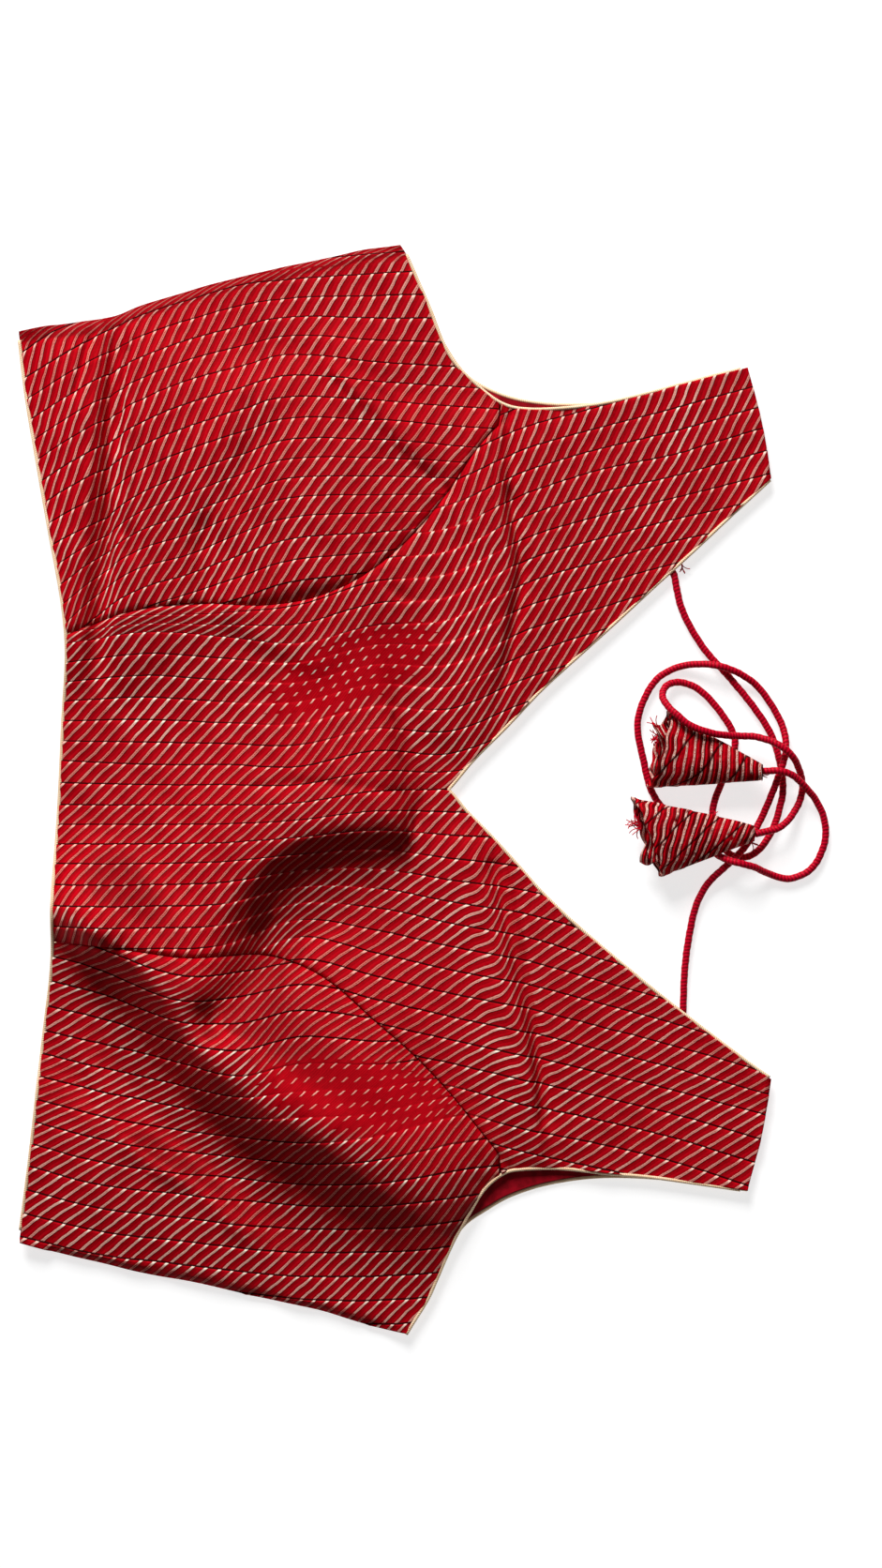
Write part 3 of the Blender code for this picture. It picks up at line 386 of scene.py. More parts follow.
# Lengthwise flutes and tucks of the cones, as shares of their width, and the waves at the mouth
CONE_FLUTES = 5
CONE_FLUTE_DEPTH = 0.03
CONE_TUCK_RISE = 0.045
MOUTH_RUFFLE = 0.5
CONE_TUCK = 10.5
CONE_TUCK_SLANT = 0.55
MOUTH_SLANT = 1.8
CONE_RINGS = 36
CONE_SIDES = 84
RUFFLE_STEPS = 22
# Loose threads: start (x, y, z), way and spread in degrees, how many, how long
THREAD = 0.42
THREAD_STEPS = 6
THREAD_ROUNDNESS = 1
THREAD_BEND = 0.35
THREAD_SHORTEST = 0.5
THREAD_RISE = (-0.25, 0.15)
TUFTS = {
    "fray_lower_mouth": ((110.0, -17.5, 9.5), 172, 50, 26, 7.5),
    "fray_upper_mouth": ((117.5, 22.0, 8.0), 200, 50, 16, 4.5),
    "hair_upper_mouth": ((118.5, 26.0, 7.0), 128, 14, 3, 9.0),
    "hair_upper_tip": ((163.5, 6.0, 7.5), -38, 10, 3, 4.5),
    "hair_lower_tip": ((159.0, -24.0, 6.0), -28, 14, 3, 7.0),
    "hair_between": ((143.0, -13.0, 9.0), 100, 18, 3, 5.0),
    "hair_neck": ((128.5, 100.5, 2.0), -80, 25, 5, 5.0),
}

# The picture's frame on the floor, in millimetres
VIEW_CENTRE = (20.6, 1.5)
VIEW_HEIGHT = 702.2
CAMERA_HEIGHT = 1500.0
CLOTH_LEVEL = 5.0
SENSOR = 36.0


def smooth_at(stations, values, at):
    """The smooth line through a table's points, read at any places: a cubic with mean slopes at its points."""
    s = np.asarray(stations, float)
    v = np.asarray(values, float)
    rise = np.diff(v) / np.diff(s)
    slope = np.concatenate([rise[:1], (rise[1:] + rise[:-1]) / 2, rise[-1:]])
    at = np.asarray(at, float)
    k = np.clip(np.searchsorted(s, at) - 1, 0, len(s) - 2)
    width = s[k + 1] - s[k]
    f = np.clip((at - s[k]) / width, -0.5, 1.5)
    a, b = v[k], v[k + 1]
    return (a * (2 * f**3 - 3 * f**2 + 1) + b * (3 * f**2 - 2 * f**3)
            + width * (slope[k] * (f**3 - 2 * f**2 + f) + slope[k + 1] * (f**3 - f**2)))


def run_along(points):
    """The length run at each point of a broken line."""
    return np.concatenate([[0], np.cumsum(np.linalg.norm(np.diff(points, axis=0), axis=1))])


def even_points(points, step):
    """Points at even steps along a broken line."""
    length = run_along(points)
    even = np.linspace(0, length[-1], max(1, int(round(length[-1] / step))) + 1)
    return np.stack([np.interp(even, length, column) for column in points.T], axis=1)


def walked(points, step, inset=0.0):
    """Even points along the smooth curve through a list of points, moved left of travel by inset."""
    p = np.array(points, float)
    chord = run_along(p)
    fine = np.linspace(0, chord[-1], int(chord[-1] / FINE_STEP))
    x, y = smooth_at(chord, p[:, 0], fine), smooth_at(chord, p[:, 1], fine)
    dx, dy = np.gradient(x), np.gradient(y)
    size = np.hypot(dx, dy)
    return even_points(np.stack([x - inset * dy / size, y + inset * dx / size], axis=1), step)


LINES = {}


def line_at(table, at, inset=0.0):
    """A table line's second column at places along the first, with the line moved square to itself by inset."""
    key = (id(table), inset)
    if key not in LINES:
        path = walked(table, FINE_STEP, inset)
        onward = np.diff(np.maximum.accumulate(path[:, 0])) > 0
        LINES[key] = path[np.concatenate([[True], onward])]
    return np.interp(at, LINES[key][:, 0], LINES[key][:, 1])


def beside(points, distance):
    """A broken line parallel to another, left of travel by distance, with its corners kept sharp."""
    p = np.array(points, float)
    way = np.diff(p, axis=0)
    way /= np.linalg.norm(way, axis=1)[:, None]
    left = np.stack([-way[:, 1], way[:, 0]], axis=1)
    before, after = np.vstack([left[:1], left]), np.vstack([left, left[-1:]])
    corner = before + after
    corner /= (1 + (before * after).sum(axis=1))[:, None]
    return p + distance * corner


def off_step(x, y, start, end):
    """How far along a straight step each place lies, as a share, and its way off the step."""
    (ax, ay), (bx, by) = start, end
    along = np.clip(((x - ax) * (bx - ax) + (y - ay) * (by - ay)) / ((bx - ax)**2 + (by - ay)**2), 0, 1)
    return along, x - ax - along * (bx - ax), y - ay - along * (by - ay)


def reach_to_line(x, y, line):
    """Distance from each place to a broken line."""
    best = np.full(np.shape(x), np.inf)
    for start, end in zip(line, line[1:]):
        _, off_x, off_y = off_step(x, y, start, end)
        best = np.minimum(best, np.hypot(off_x, off_y))
    return best


def beside_line(x, y, line):
    """Distance from each place to a line, which side of its travel it is on, and how far along it."""
    path = walked(line, FOLD_STEP)
    away = np.full(np.shape(x), np.inf)
    side, share = np.zeros((2, len(x)))
    for n, (start, end) in enumerate(zip(path, path[1:])):
        along, off_x, off_y = off_step(x, y, start, end)
        way_x, way_y = end - start
        reach = np.hypot(off_x, off_y)
        nearer = reach < away
        away = np.where(nearer, reach, away)
        side = np.where(nearer, way_x * off_y - way_y * off_x, side)
        share = np.where(nearer, (n + along) / (len(path) - 1), share)
    return away, side, share


def ease(f):
    """0 to 1 with level ends."""
    f = np.clip(f, 0, 1)
    return f * f * (3 - 2 * f)


def level_ends(share, rise):
    """1 along a line, easing from 0 over a share of it at each end."""
    return ease(share / rise) * ease((1 - share) / rise)


def hump(distance, half):
    """1 on a line, falling off evenly beside it."""
    return np.exp(-(distance / half)**2)


def turned(x, y, place, angle):
    """Places read from another place, along a way at an angle and square to it."""
    u = (x - place[0]) * np.cos(angle) + (y - place[1]) * np.sin(angle)
    v = (y - place[1]) * np.cos(angle) - (x - place[0]) * np.sin(angle)
    return u, v


def dome_height(x, y, dome):
    """One dome's lift: it falls off with its own reach to each side."""
    d = dict(zip(DOME_COLUMNS, dome))
    u, v = turned(x, y, (d["x"], d["y"]), np.radians(d["turn"]))
    across = u / np.where(u < 0, d["left"], d["right"])
    along = v / np.where(v < 0, d["down"], d["up"])
    return d["height"] * np.exp(-(across**2 + along**2)**d["square"] * DOME_FALL)


def fold_height(x, y, fold):
    """One standing fold's lift: steep on the left of its travel, gentle on the right, level at its ends."""
    height, steep_first, steep_last, gentle, rise, line = fold
    away, side, share = beside_line(x, y, line)
    steep = steep_first + (steep_last - steep_first) * share
    return height * level_ends(share, rise) * hump(away, np.where(side > 0, steep, gentle))


def stripe_bend(x, y):
    """How far the stripes are pushed along by the folds they bend round, and by the roll at the right side."""
    push = np.zeros(len(x))
    for turn, before, after, line in BENDS.values():
        away, side, share = beside_line(x, y, line)
        off = away * np.sign(side)
        push += turn * off * hump(off, np.where(off < 0, before, after)) * level_ends(share, BEND_RISE)
    inside = np.clip(SIDE_TURN - reach_to_line(x, y, SIDE_RIGHT), 0, None)
    return push - SIDE_TURN_SHARE * inside**2 / 2 / SIDE_TURN


def front_floor(x, y):
    """Height of the front wall's plain inside over the surface."""
    side = np.minimum(reach_to_line(x, y, SIDE_RIGHT[1:-1]), reach_to_line(x, y, SIDE_LEFT[1:-1]))
    openings = (ARMHOLE_RIGHT, ARMHOLE_LEFT, NECK_RIGHT, NECK_LEFT)
    opening = np.minimum.reduce([reach_to_line(x, y, line[1:-1]) for line in openings])
    lift = sum(dome_height(x, y, dome) for dome in DOMES.values())
    lift = lift + sum(fold_height(x, y, fold)**FOLD_JOIN for fold in FOLDS.values())**(1 / FOLD_JOIN)
    lift = lift * (1 - np.exp(-side / SIDE_REACH)) * (1 - np.exp(-opening / OPENING_REACH))
    press = sum(depth * hump(reach_to_line(x, y, line), half) for depth, half, line in TROUGHS.values())
    lift = np.maximum(lift - press * ease(lift / PRESS_FULL), 0)
    corner = np.maximum(ease((x - STRAP_RISE_FROM) / CORNER_LIFT), ease((HEM_CORNER - x) / CORNER_LIFT))
    edge = SIDE_FLOOR + (FRONT_FLOOR - SIDE_FLOOR) * corner
    return edge + (FRONT_FLOOR - edge) * ease(side / SIDE_ROLL) + lift


def guide_places(guides, x):
    """The guide tucks' y at each x, one row for each guide, and the guides' counts."""
    rows = np.array([smooth_at(guides[0], row, x) for row in guides[1].values()])
    return rows, np.array(list(guides[1]), float)


def tuck_place(guides, x, count):
    """The y of a place counted in tucks."""
    rows, counts = guide_places(guides, x)
    k = np.clip(np.searchsorted(counts, count) - 1, 0, len(counts) - 2)
    f = (count - counts[k]) / (counts[k + 1] - counts[k])
    at = np.arange(len(x))
    return rows[k, at] * (1 - f) + rows[k + 1, at] * f


def tuck_count(guides, x, y):
    """The place of y counted in tucks, from the top guide down."""
    rows, counts = guide_places(guides, x)
    k = np.clip((rows > y).sum(axis=0) - 1, 0, len(counts) - 2)
    at = np.arange(len(x))
    f = (rows[k, at] - y) / (rows[k, at] - rows[k + 1, at])
    return counts[k] * (1 - f) + counts[k + 1] * f


# A tuck's section from its lip to its foot: (share of the tuck, share of the relief)
TUCK_SECTION = [
    (0.0, 0.45), (0.035, 0.92), (0.08, 1.0), (0.25, 0.84), (0.5, 0.55), (0.76, 0.25), (0.93, 0.04),
    (0.975, 0.0)
]
# The relief where one tuck's foot meets the next one's lip
NEXT_LIP = (1.0, 0.45)


def tuck_relief(count):
    """A knife tuck's rise over the plain wall: a rounded lip, then an even fall to its foot."""
    shares, rises = zip(*TUCK_SECTION, NEXT_LIP)
    return TUCK_RELIEF * np.interp(count - np.floor(count), shares, rises)


# The table of lengths along the tucks: its ends and step in x, its step in tucks, and where the length is 0
RUN_FROM = -176.0
RUN_TO = 176.0
RUN_STEP = 2.0
RUN_TUCK_STEP = 0.5
RUN_START = -60.0


def run_table(guides, first, last):
    """Length along the cloth's own tucks, on a regular table of x and tuck count, measured over the domes."""
    xs = np.arange(RUN_FROM, RUN_TO, RUN_STEP)
    counts = np.arange(first, last + 0.1, RUN_TUCK_STEP)
    x, count = np.meshgrid(xs, counts, indexing="ij")
    y = tuck_place(guides, x.ravel(), count.ravel())
    z = front_floor(x.ravel(), y)
    step = np.sqrt(sum(np.diff(values.reshape(x.shape), axis=0)**2 for values in (x, y, z)))
    run = np.vstack([np.zeros((1, len(counts))), np.cumsum(step, axis=0)])
    return xs, counts, run - run[np.searchsorted(xs, RUN_START)]


def run_at(table, x, count):
    """The table's length at each place."""
    xs, counts, run = table
    i = np.clip((x - xs[0]) / (xs[1] - xs[0]), 0, len(xs) - 1.001)
    j = np.clip((count - counts[0]) / (counts[1] - counts[0]), 0, len(counts) - 1.001)
    a, b = i.astype(int), j.astype(int)
    f, g = i - a, j - b
    return ((run[a, b] * (1 - g) + run[a, b + 1] * g) * (1 - f)
            + (run[a + 1, b] * (1 - g) + run[a + 1, b + 1] * g) * f)


# Rounds in which points settle inside the outline, how near grids are joined, in metres, the slack at a
# last row, the step of the slants' table, and how far from the notch the strips beside the neck grow
SETTLING_ROUNDS = 4
GRID_MERGE = 0.00002
ROW_SLACK = 0.1
SLANT_STEP = 0.1
NECK_STRIP_GROWS = 6
# How far a panel's points keep from its own edge: the outermost points, the next, and the rest
EDGE_STRIPS = (0.0, 0.6, 1.5)
# Steps between rows of points, each up to its x: fine across the upright folds
ROWS_FROM = -169.0
ROW_STEPS = [(-144, 2.6), (-117, 1.0), (NOTCH, 2.8), (SEAM_END, 2.4), (66, 1.2), (169, 3.4)]


def strip_of(index, count):
    """The strip that each row or column of points keeps beside its edges."""
    nearest = np.minimum(index, count - 1 - index)
    return np.choose(np.minimum(nearest, len(EDGE_STRIPS) - 1), EDGE_STRIPS)


def panel_points(rows, columns, guides, high, low, ends):
    """Places (x, y, tuck count) of a panel's points, inside its outline with narrow strips along each edge."""
    hem_end, far_end = ends
    i, j = np.meshgrid(np.arange(len(rows)), np.arange(len(columns)), indexing="ij")
    i, j = i.ravel(), j.ravel()
    x = rows[i].astype(float)
    count = np.asarray(columns, float)[j]
    side_strip, end_strip = strip_of(j, len(columns)), strip_of(i, len(rows))
    for _ in range(SETTLING_ROUNDS):
        top, bottom = high(x), low(x)
        strip = np.minimum(side_strip, np.maximum(top - bottom, 0) / 3)
        highest = tuck_count(guides, x, top - strip * high.strip(x))
        lowest = tuck_count(guides, x, np.minimum(bottom + strip * low.strip(x), top))
        held = np.clip(count, highest, lowest)
        held = np.where(j == 0, highest, np.where(j == len(columns) - 1, lowest, held))
        y = tuck_place(guides, x, held)
        x = rows[i].astype(float)
        if hem_end is not None:
            x = np.where(i == 0, hem_end(y), np.maximum(x, hem_end(y) + end_strip))
        if far_end is not None:
            x = np.where(i == len(rows) - 1, far_end(y), np.minimum(x, far_end(y) - end_strip))
    return x, y, held


def near_seam(x, y):
    """Distance to the nearest princess seam."""
    return np.minimum(*[reach_to_line(x, y, walked(seam, SEAM_STEP)) for seam in (SEAM_RIGHT, SEAM_LEFT)])


def ripple(x, y):
    """Small uneven waves of cloth that was sewn and handled, with lengths of a few centimetres."""
    wide = np.sin(x / 6.1 + 2 * np.sin(y / 17)) * np.sin(y / 8.3 + np.sin(x / 13))
    return RIPPLE * (wide + 0.6 * np.sin(x / 3.3 + y / 4.7 + 2 * np.sin(y / 21)))


def front_top(x, y, count, plain):
    """Height of the front's face: the wall, its tucks, and the dip and puckers along the seams."""
    seam = near_seam(x, y)
    floor = front_floor(x, y)
    height, reach = PUCKER
    pucker = height * hump(seam, reach) * np.sin(x * 0.95 + np.sin(y * 0.31) * 1.4)
    dip = sum(depth * hump(seam, half) for depth, half in SEAM_DIPS)
    share, half = TUCK_FLATTENED
    relief = tuck_relief(count) * (1 - DOTTED_FLATTENED * plain) * (1 - share * hump(seam, half))
    crease = sum(depth * hump(reach_to_line(x, y, walked(line, CREASE_STEP)), half)
                 for depth, half, line in CREASES.values())
    crease = np.minimum(crease, np.maximum(floor - FRONT_FLOOR, CREASE_LEAST))
    return floor + WALL + relief - dip + pucker - crease + ripple(x, y)


def patches(x, y, places):
    """1 inside each of a table's oval places, falling to 0 around it."""
    share = np.zeros(len(x))
    for cx, cy, long_half, wide_half, turn in places:
        u, v = turned(x, y, (cx, cy), math.radians(turn))
        size = np.hypot(u / long_half, v / wide_half)
        share = np.maximum(share, 1 - ease((size - PATCH_FULL) / PATCH_FADE))
    return share


def stripe_phase(guides, x, count):
    """The stripes' own count at each place: their run along the tuck and their slant down the tucks."""
    tucks, slants = zip(*guides[2])
    fine = np.arange(tucks[0], tucks[-1] + SLANT_STEP, SLANT_STEP)
    slant = np.cumsum(np.interp(fine, tucks, slants)) * SLANT_STEP
    table = run_table(guides, tucks[0], tucks[-1])
    return run_at(table, x, count) / STRIPE_RUN + np.interp(count, fine, slant)


def glint_share(x, y):
    """Painted light on the silk from the cloth's lean: the gold is painted brightest where the cloth leans to
    the picture's bottom or to the hem's side, painted shade goes where it is steep, and the painted highlights
    add to it."""
    gap = 2 * LEAN_REACH
    to_top = (front_floor(x, y + LEAN_REACH) - front_floor(x, y - LEAN_REACH)) / gap
    to_strap = (front_floor(x + LEAN_REACH, y) - front_floor(x - LEAN_REACH, y)) / gap
    steep = ease((to_top - STEEP_FROM) / STEEP_RANGE)
    shine = GLINT_LEVEL + GLINT_TO_BOTTOM * to_top * (1 - steep) + GLINT_TO_HEM * to_strap - steep
    return shine + PAINTED_HIGHLIGHTS_GAIN * patches(x, y, PAINTED_HIGHLIGHTS)


class Edge:
    """A panel's edge as y at each x; strip scales the strips kept beside it."""

    def __init__(self, at, strip=None):
        self.at = at
        self.strip = strip or (lambda x: np.ones(len(x)))

    def __call__(self, x):
        return self.at(x)


def numbers(mesh, **layers):
    """Puts numbers on each point of a mesh, for its material."""
    for name, values in layers.items():
        layer = mesh.attributes.new(name, "FLOAT", "POINT")
        layer.data.foreach_set("value", np.asarray(values, np.float32))


def places_of(mesh):
    """A mesh's points, one row each."""
    places = np.empty(len(mesh.vertices) * 3)
    mesh.vertices.foreach_get("co", places)
    return places.reshape(-1, 3)


def grid_mesh(name, rows, columns, guides, high, low, ends):
    """One grid of the front's face, with the numbers that its silk reads at each point."""
    bm = bmesh.new()
    bmesh.ops.create_grid(bm, x_segments=len(columns) - 1, y_segments=len(rows) - 1, size=1.0)
    mesh = bpy.data.meshes.new(name)
    bm.to_mesh(mesh)
    bm.free()
    place = (places_of(mesh) + 1) / 2
    column = np.rint(place[:, 0] * (len(columns) - 1)).astype(int)
    row = np.rint(place[:, 1] * (len(rows) - 1)).astype(int)
    order = row * len(columns) + column
    x, y, count = panel_points(rows, columns, guides, high, low, ends)
    roll = ease((SIDE_TURN - reach_to_line(x, y, SIDE_RIGHT)) / ROLL_WIDTH)
    plain = np.maximum(patches(x, y, DOTTED), ROLL_NARROWS * roll)
    phase = stripe_phase(guides, x, count) + stripe_bend(x, y)
    # Painted light for the silk, lowered by painted shade on the roll at the right side
    glint = glint_share(x, y) - ROLL_PAINTED_SHADE * roll
    z = front_top(x, y, count, plain)
    mesh.vertices.foreach_set("co", (np.stack([x, y, z], axis=1)[order] * MM).ravel())
    numbers(mesh, tuck=count[order], phase=phase[order], plain=plain[order],
            soft=patches(x, y, SOFT_TUCKS)[order], glint=glint[order])
    return mesh


def finished(bm, name, material, smooth=True):
    """The named piece of a mesh."""
    mesh = bpy.data.meshes.new(name)
    bm.to_mesh(mesh)
    bm.free()
    if smooth:
        mesh.shade_smooth()
    mesh.materials.append(material)
    piece = bpy.data.objects.new(name, mesh)
    bpy.context.collection.objects.link(piece)
    return piece


def walled(piece, thickness):
    """Gives a piece's faces a thin wall behind them."""
    wall = piece.modifiers.new("wall", "SOLIDIFY")
    wall.thickness = thickness * MM
    wall.offset = -1
    return piece


def cloth_panel(name, grids, material):
    """A front panel of its grids, joined, with a thin wall under its face."""
    bm = bmesh.new()
    for grid in grids:
        mesh = grid_mesh(name, *grid)
        bm.from_mesh(mesh)
        bpy.data.meshes.remove(mesh)
    bmesh.ops.remove_doubles(bm, verts=bm.verts, dist=GRID_MERGE)
    bmesh.ops.dissolve_degenerate(bm, edges=bm.edges, dist=GRID_MERGE)
    bmesh.ops.recalc_face_normals(bm, faces=bm.faces)
    if sum(face.normal.z for face in bm.faces) < 0:
        bmesh.ops.reverse_faces(bm, faces=bm.faces)
    return walled(finished(bm, name, material), SHEET)


def stands_for(piece, slot, *nodes):
    """A piece that rides with the blouse and stands for nodes; slot is not used."""
    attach(piece, "root")
    if nodes:
        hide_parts(*nodes)


def hem_line(y):
    """The front's hem edge as x at each y."""
    return line_at(HEM, y, PIPED_INSET)


SHOULDERS = {"right": lambda y: line_at(SHOULDER_RIGHT, y), "left": lambda y: line_at(SHOULDER_LEFT, y)}
# A limit that is out of every panel's way
FAR = 1e3


def seam_limit(seam, x, gap, free):
    """A princess seam's y as a limit, and no limit past the seam's end."""
    return np.where(x < SEAM_END + ROW_SLACK, line_at(seam, x, gap), free)


def tuck_columns(first, last):
    """Columns of points over each tuck from first to last, close at its lip and foot."""
    return [n + share for n in range(first, last) for share, _ in TUCK_SECTION] + [last]


def front_rows():
    """The x of each row of points, from the hem to the shoulder."""
    rows = [ROWS_FROM]
    for last, step in ROW_STEPS:
        rows.extend(np.linspace(rows[-1], last, int(round((last - rows[-1]) / step)) + 1)[1:])
    return np.array(rows)


def make_centre(rows, silk):
    """The centre front with both straps, as one grid over each half."""
    half_gap = SEAM_GAP / 2

    def middle(x):
        return tuck_place(CENTRE, x, np.zeros(len(x)))

    def top_right(x):
        return np.minimum(line_at(ARMHOLE_RIGHT, x, -PIPED_INSET), seam_limit(SEAM_RIGHT, x, -half_gap, FAR))

    def bottom_left(x):
        return np.maximum(line_at(ARMHOLE_LEFT, x, PIPED_INSET), seam_limit(SEAM_LEFT, x, half_gap, -FAR))

    def neck_right(x):
        return np.where(x > NOTCH, np.maximum(line_at(NECK_RIGHT, x, PIPED_INSET), middle(x)), middle(x))

    def neck_left(x):
        return np.where(x > NOTCH, np.minimum(line_at(NECK_LEFT, x, -PIPED_INSET), middle(x)), middle(x))

    def beside_neck(x):
        return ease((x - NOTCH) / NECK_STRIP_GROWS)

    return cloth_panel("front_centre_cloth", [
        (rows, tuck_columns(-17, 0), CENTRE, Edge(top_right), Edge(neck_right, beside_neck),
         (hem_line, SHOULDERS["right"])),
        (rows, tuck_columns(0, 17), CENTRE, Edge(neck_left, beside_neck), Edge(bottom_left),
         (hem_line, SHOULDERS["left"])),
    ], silk)


def make_front(silk):
    """The centre front with both straps, and the two side fronts."""
    half_gap = SEAM_GAP / 2
    rows = front_rows()
    side_rows = rows[rows < SEAM_END + ROW_SLACK]

    def high_right(x):
        return np.minimum(line_at(SIDE_RIGHT, x), line_at(ARMHOLE_RIGHT, x, -PIPED_INSET))

    def low_right(x):
        return np.minimum(line_at(SEAM_RIGHT, x, half_gap), high_right(x))

    def low_left(x):
        return np.maximum(line_at(SIDE_LEFT, x), line_at(ARMHOLE_LEFT, x, PIPED_INSET))

    def high_left(x):
        return np.maximum(line_at(SEAM_LEFT, x, -half_gap), low_left(x))

    centre = make_centre(rows, silk)
    right = cloth_panel("side_front_right_cloth", [
        (side_rows, tuck_columns(-2, 15), FLANK_RIGHT, Edge(high_right), Edge(low_right), (hem_line, None)),
    ], silk)
    left = cloth_panel("side_front_left_cloth", [
        (side_rows, tuck_columns(-2, 16), FLANK_LEFT, Edge(high_left), Edge(low_left), (hem_line, None)),
    ], silk)
    stands_for(centre, "silk", "front_centre")
    stands_for(right, "silk", "side_front_right")
    stands_for(left, "silk", "side_front_left")


def between(points, first, last, column=0):
    """The points whose first or second number lies in a range."""
    return points[(points[:, column] > first) & (points[:, column] < last)]


def drawn(name, lines, diameter, roundness, caps):
    """Round cords along lists of points."""
    curve = bpy.data.curves.new(name, "CURVE")
    curve.dimensions = "3D"
    curve.bevel_depth = diameter / 2 * MM
    curve.bevel_resolution = roundness
    curve.use_fill_caps = caps
    for line in lines:
        spline = curve.splines.new("POLY")
        spline.points.add(len(line) - 1)
        for point, (x, y, z) in zip(spline.points, line):
            point.co = (x * MM, y * MM, z * MM, 1)
    holder = bpy.data.objects.new(name, curve)
    mesh = bpy.data.meshes.new_from_object(holder)
    bpy.data.objects.remove(holder)
    bpy.data.curves.remove(curve)
    bm = bmesh.new()
    bm.from_mesh(mesh)
    bpy.data.meshes.remove(mesh)
    return bm


def tube(name, points, diameter, material, wobble=0.0):
    """A cloth tube along points, with how far along and round it each point lies, for its material."""
    bm = drawn(name, [points], diameter, TUBE_ROUNDNESS, caps=True)
    bmesh.ops.remove_doubles(bm, verts=bm.verts, dist=TUBE_MERGE)
    bmesh.ops.recalc_face_normals(bm, faces=bm.faces)
    piece = finished(bm, name, material)
    place = places_of(piece.data) / MM
    route = np.array(points, float)
    way = np.gradient(route, axis=0)
    way /= np.linalg.norm(way, axis=1)[:, None]
    nearest = np.array([np.argmin(((route - p)**2).sum(axis=1)) for p in place])
    off, way = place - route[nearest], way[nearest]
    onward = (off * way).sum(axis=1)
    along = run_along(route)[nearest] + onward
    square = off - onward[:, None] * way
    flat_side = np.cross(way, [0.0, 0.0, 1.0])
    flat_side /= np.linalg.norm(flat_side, axis=1)[:, None]
    around = np.arctan2(square[:, 2], (square * flat_side).sum(axis=1))
    numbers(piece.data, along=along, around=around)
    if wobble:
        size = np.linalg.norm(square, axis=1)
        size[size < 1e-6] = 1
        wave = sum(share * np.sin(along * run + turns * around) for run, turns, share in CORD_WAVES)
        place += square / size[:, None] * (wobble * wave)[:, None]
        piece.data.vertices.foreach_set("co", (place * MM).ravel())
    return piece


def smooth_route(points, step):
    """A smooth curve through a cord's own points, read again at even steps of its length."""
    p = np.array(points, float)
    chord = np.concatenate([[0], np.cumsum(np.sqrt(np.linalg.norm(np.diff(p, axis=0), axis=1)))])
    fine = np.linspace(0, chord[-1], ROUTE_POINTS)
    return even_points(np.stack([smooth_at(chord, column, fine) for column in p.T], axis=1), step)


def make_cords(satin):
    """The two tie cords, each sewn under a strap and ending in a cone."""
    made = {}
    for name, route in (("dori_right", DORI_RIGHT_ROUTE), ("dori_left", DORI_LEFT_ROUTE)):
        path = np.concatenate([[SEWN[name]], smooth_route(route, CORD_STEP)])
        cord = tube(name + "_cord", path, CORD, satin, CORD_WOBBLE)
        stands_for(cord, "dori", name)
        made[name] = (cord, path)
    return made


def declare_cords(made):
    """Goes over each cord with the cone at its end and reads its path's points in metres; nothing is kept."""
    for name, cone in (("dori_right", "latkan_lower"), ("dori_left", "latkan_upper")):
        cord, path = made[name]
        tuple(path[0] * MM)
        [tuple(p * MM) for p in path]


def make_piping(name, points, cord_cloth):
    """One length of gold piping along points."""
    stands_for(tube(name + "_cord", points, PIPING, cord_cloth), "piping", name)


def over_front(points, inward):
    """Points of a piping beside the front's edge: half way up its wall, and a little over its tucks."""
    x, y = np.array(points, float).T
    floor = np.maximum(front_floor(x + inward[0], y + inward[1]), FRONT_FLOOR)
    return np.stack([x, y, floor + WALL / 2 + PIPING_LIFT], axis=1)


# Where the front's piping starts and stops: y along the hem, and x along the armholes and the neck
FRONT_HEM_PIPED = (-199.5, 201.5)
FRONT_ARMHOLE_PIPED = (SIDE_CORNER + 0.5, STRAP_END - 4)
NECK_RIGHT_PIPED = (V_POINT[0] - 1.2, 168.5)
NECK_LEFT_PIPED = (V_POINT[0] - 0.7, 168.5)
PIPING_STEP = 1.5


def make_front_piping(cord_cloth):
    """Gold piping along the front's open edges."""
    half = PIPING / 2
    hem = between(walked(HEM_POINTS, PIPING_STEP, -half), *FRONT_HEM_PIPED, column=1)
    right = between(walked(ARMHOLE_RIGHT, PIPING_STEP, -half), *FRONT_ARMHOLE_PIPED)
    left = between(walked(ARMHOLE_LEFT, PIPING_STEP, half), *FRONT_ARMHOLE_PIPED)
    neck = np.vstack([between(walked(NECK_RIGHT, PIPING_STEP, half), *NECK_RIGHT_PIPED)[::-1],
                      between(walked(NECK_LEFT, PIPING_STEP, -half), *NECK_LEFT_PIPED)])
    make_piping("piping_hem_front", over_front(hem, (half, 0)), cord_cloth)
    make_piping("piping_armhole_front_right", over_front(right, (0, -half)), cord_cloth)
    make_piping("piping_armhole_front_left", over_front(left, (0, half)), cord_cloth)
    make_piping("piping_neck_front", over_front(neck, (-half, 0)), cord_cloth)


def on_surface(points):
    """Points of a piping that lies on the surface."""
    return [(x, y, PIPING / 2) for x, y in points]


def slab(name, outline, floor, wall, material):
    """A flat piece of cloth from its outline."""
    bm = bmesh.new()
    face = bm.faces.new([bm.verts.new((x * MM, y * MM, floor * MM)) for x, y in outline])
    raised = bmesh.ops.extrude_face_region(bm, geom=[face])
    top = [vert for vert in raised["geom"] if isinstance(vert, bmesh.types.BMVert)]
    bmesh.ops.translate(bm, verts=top, vec=(0, 0, wall * MM))
    bmesh.ops.recalc_face_normals(bm, faces=bm.faces)
    return finished(bm, name, material, smooth=False)


# The back's points: their steps, where its side edges and its neck start, and how its hem meets its sides
BACK_HEM_STEP = 6.0
BACK_EDGE_STEP = 3.0
BACK_SIDE_FROM = -150
BACK_SIDE_SHORT = 4
BACK_NECK_FROM = -99
HEM_STOPS = 2
CORNER_INSET = 2.2
BACK_HEM_PIPED = (-190, 192)


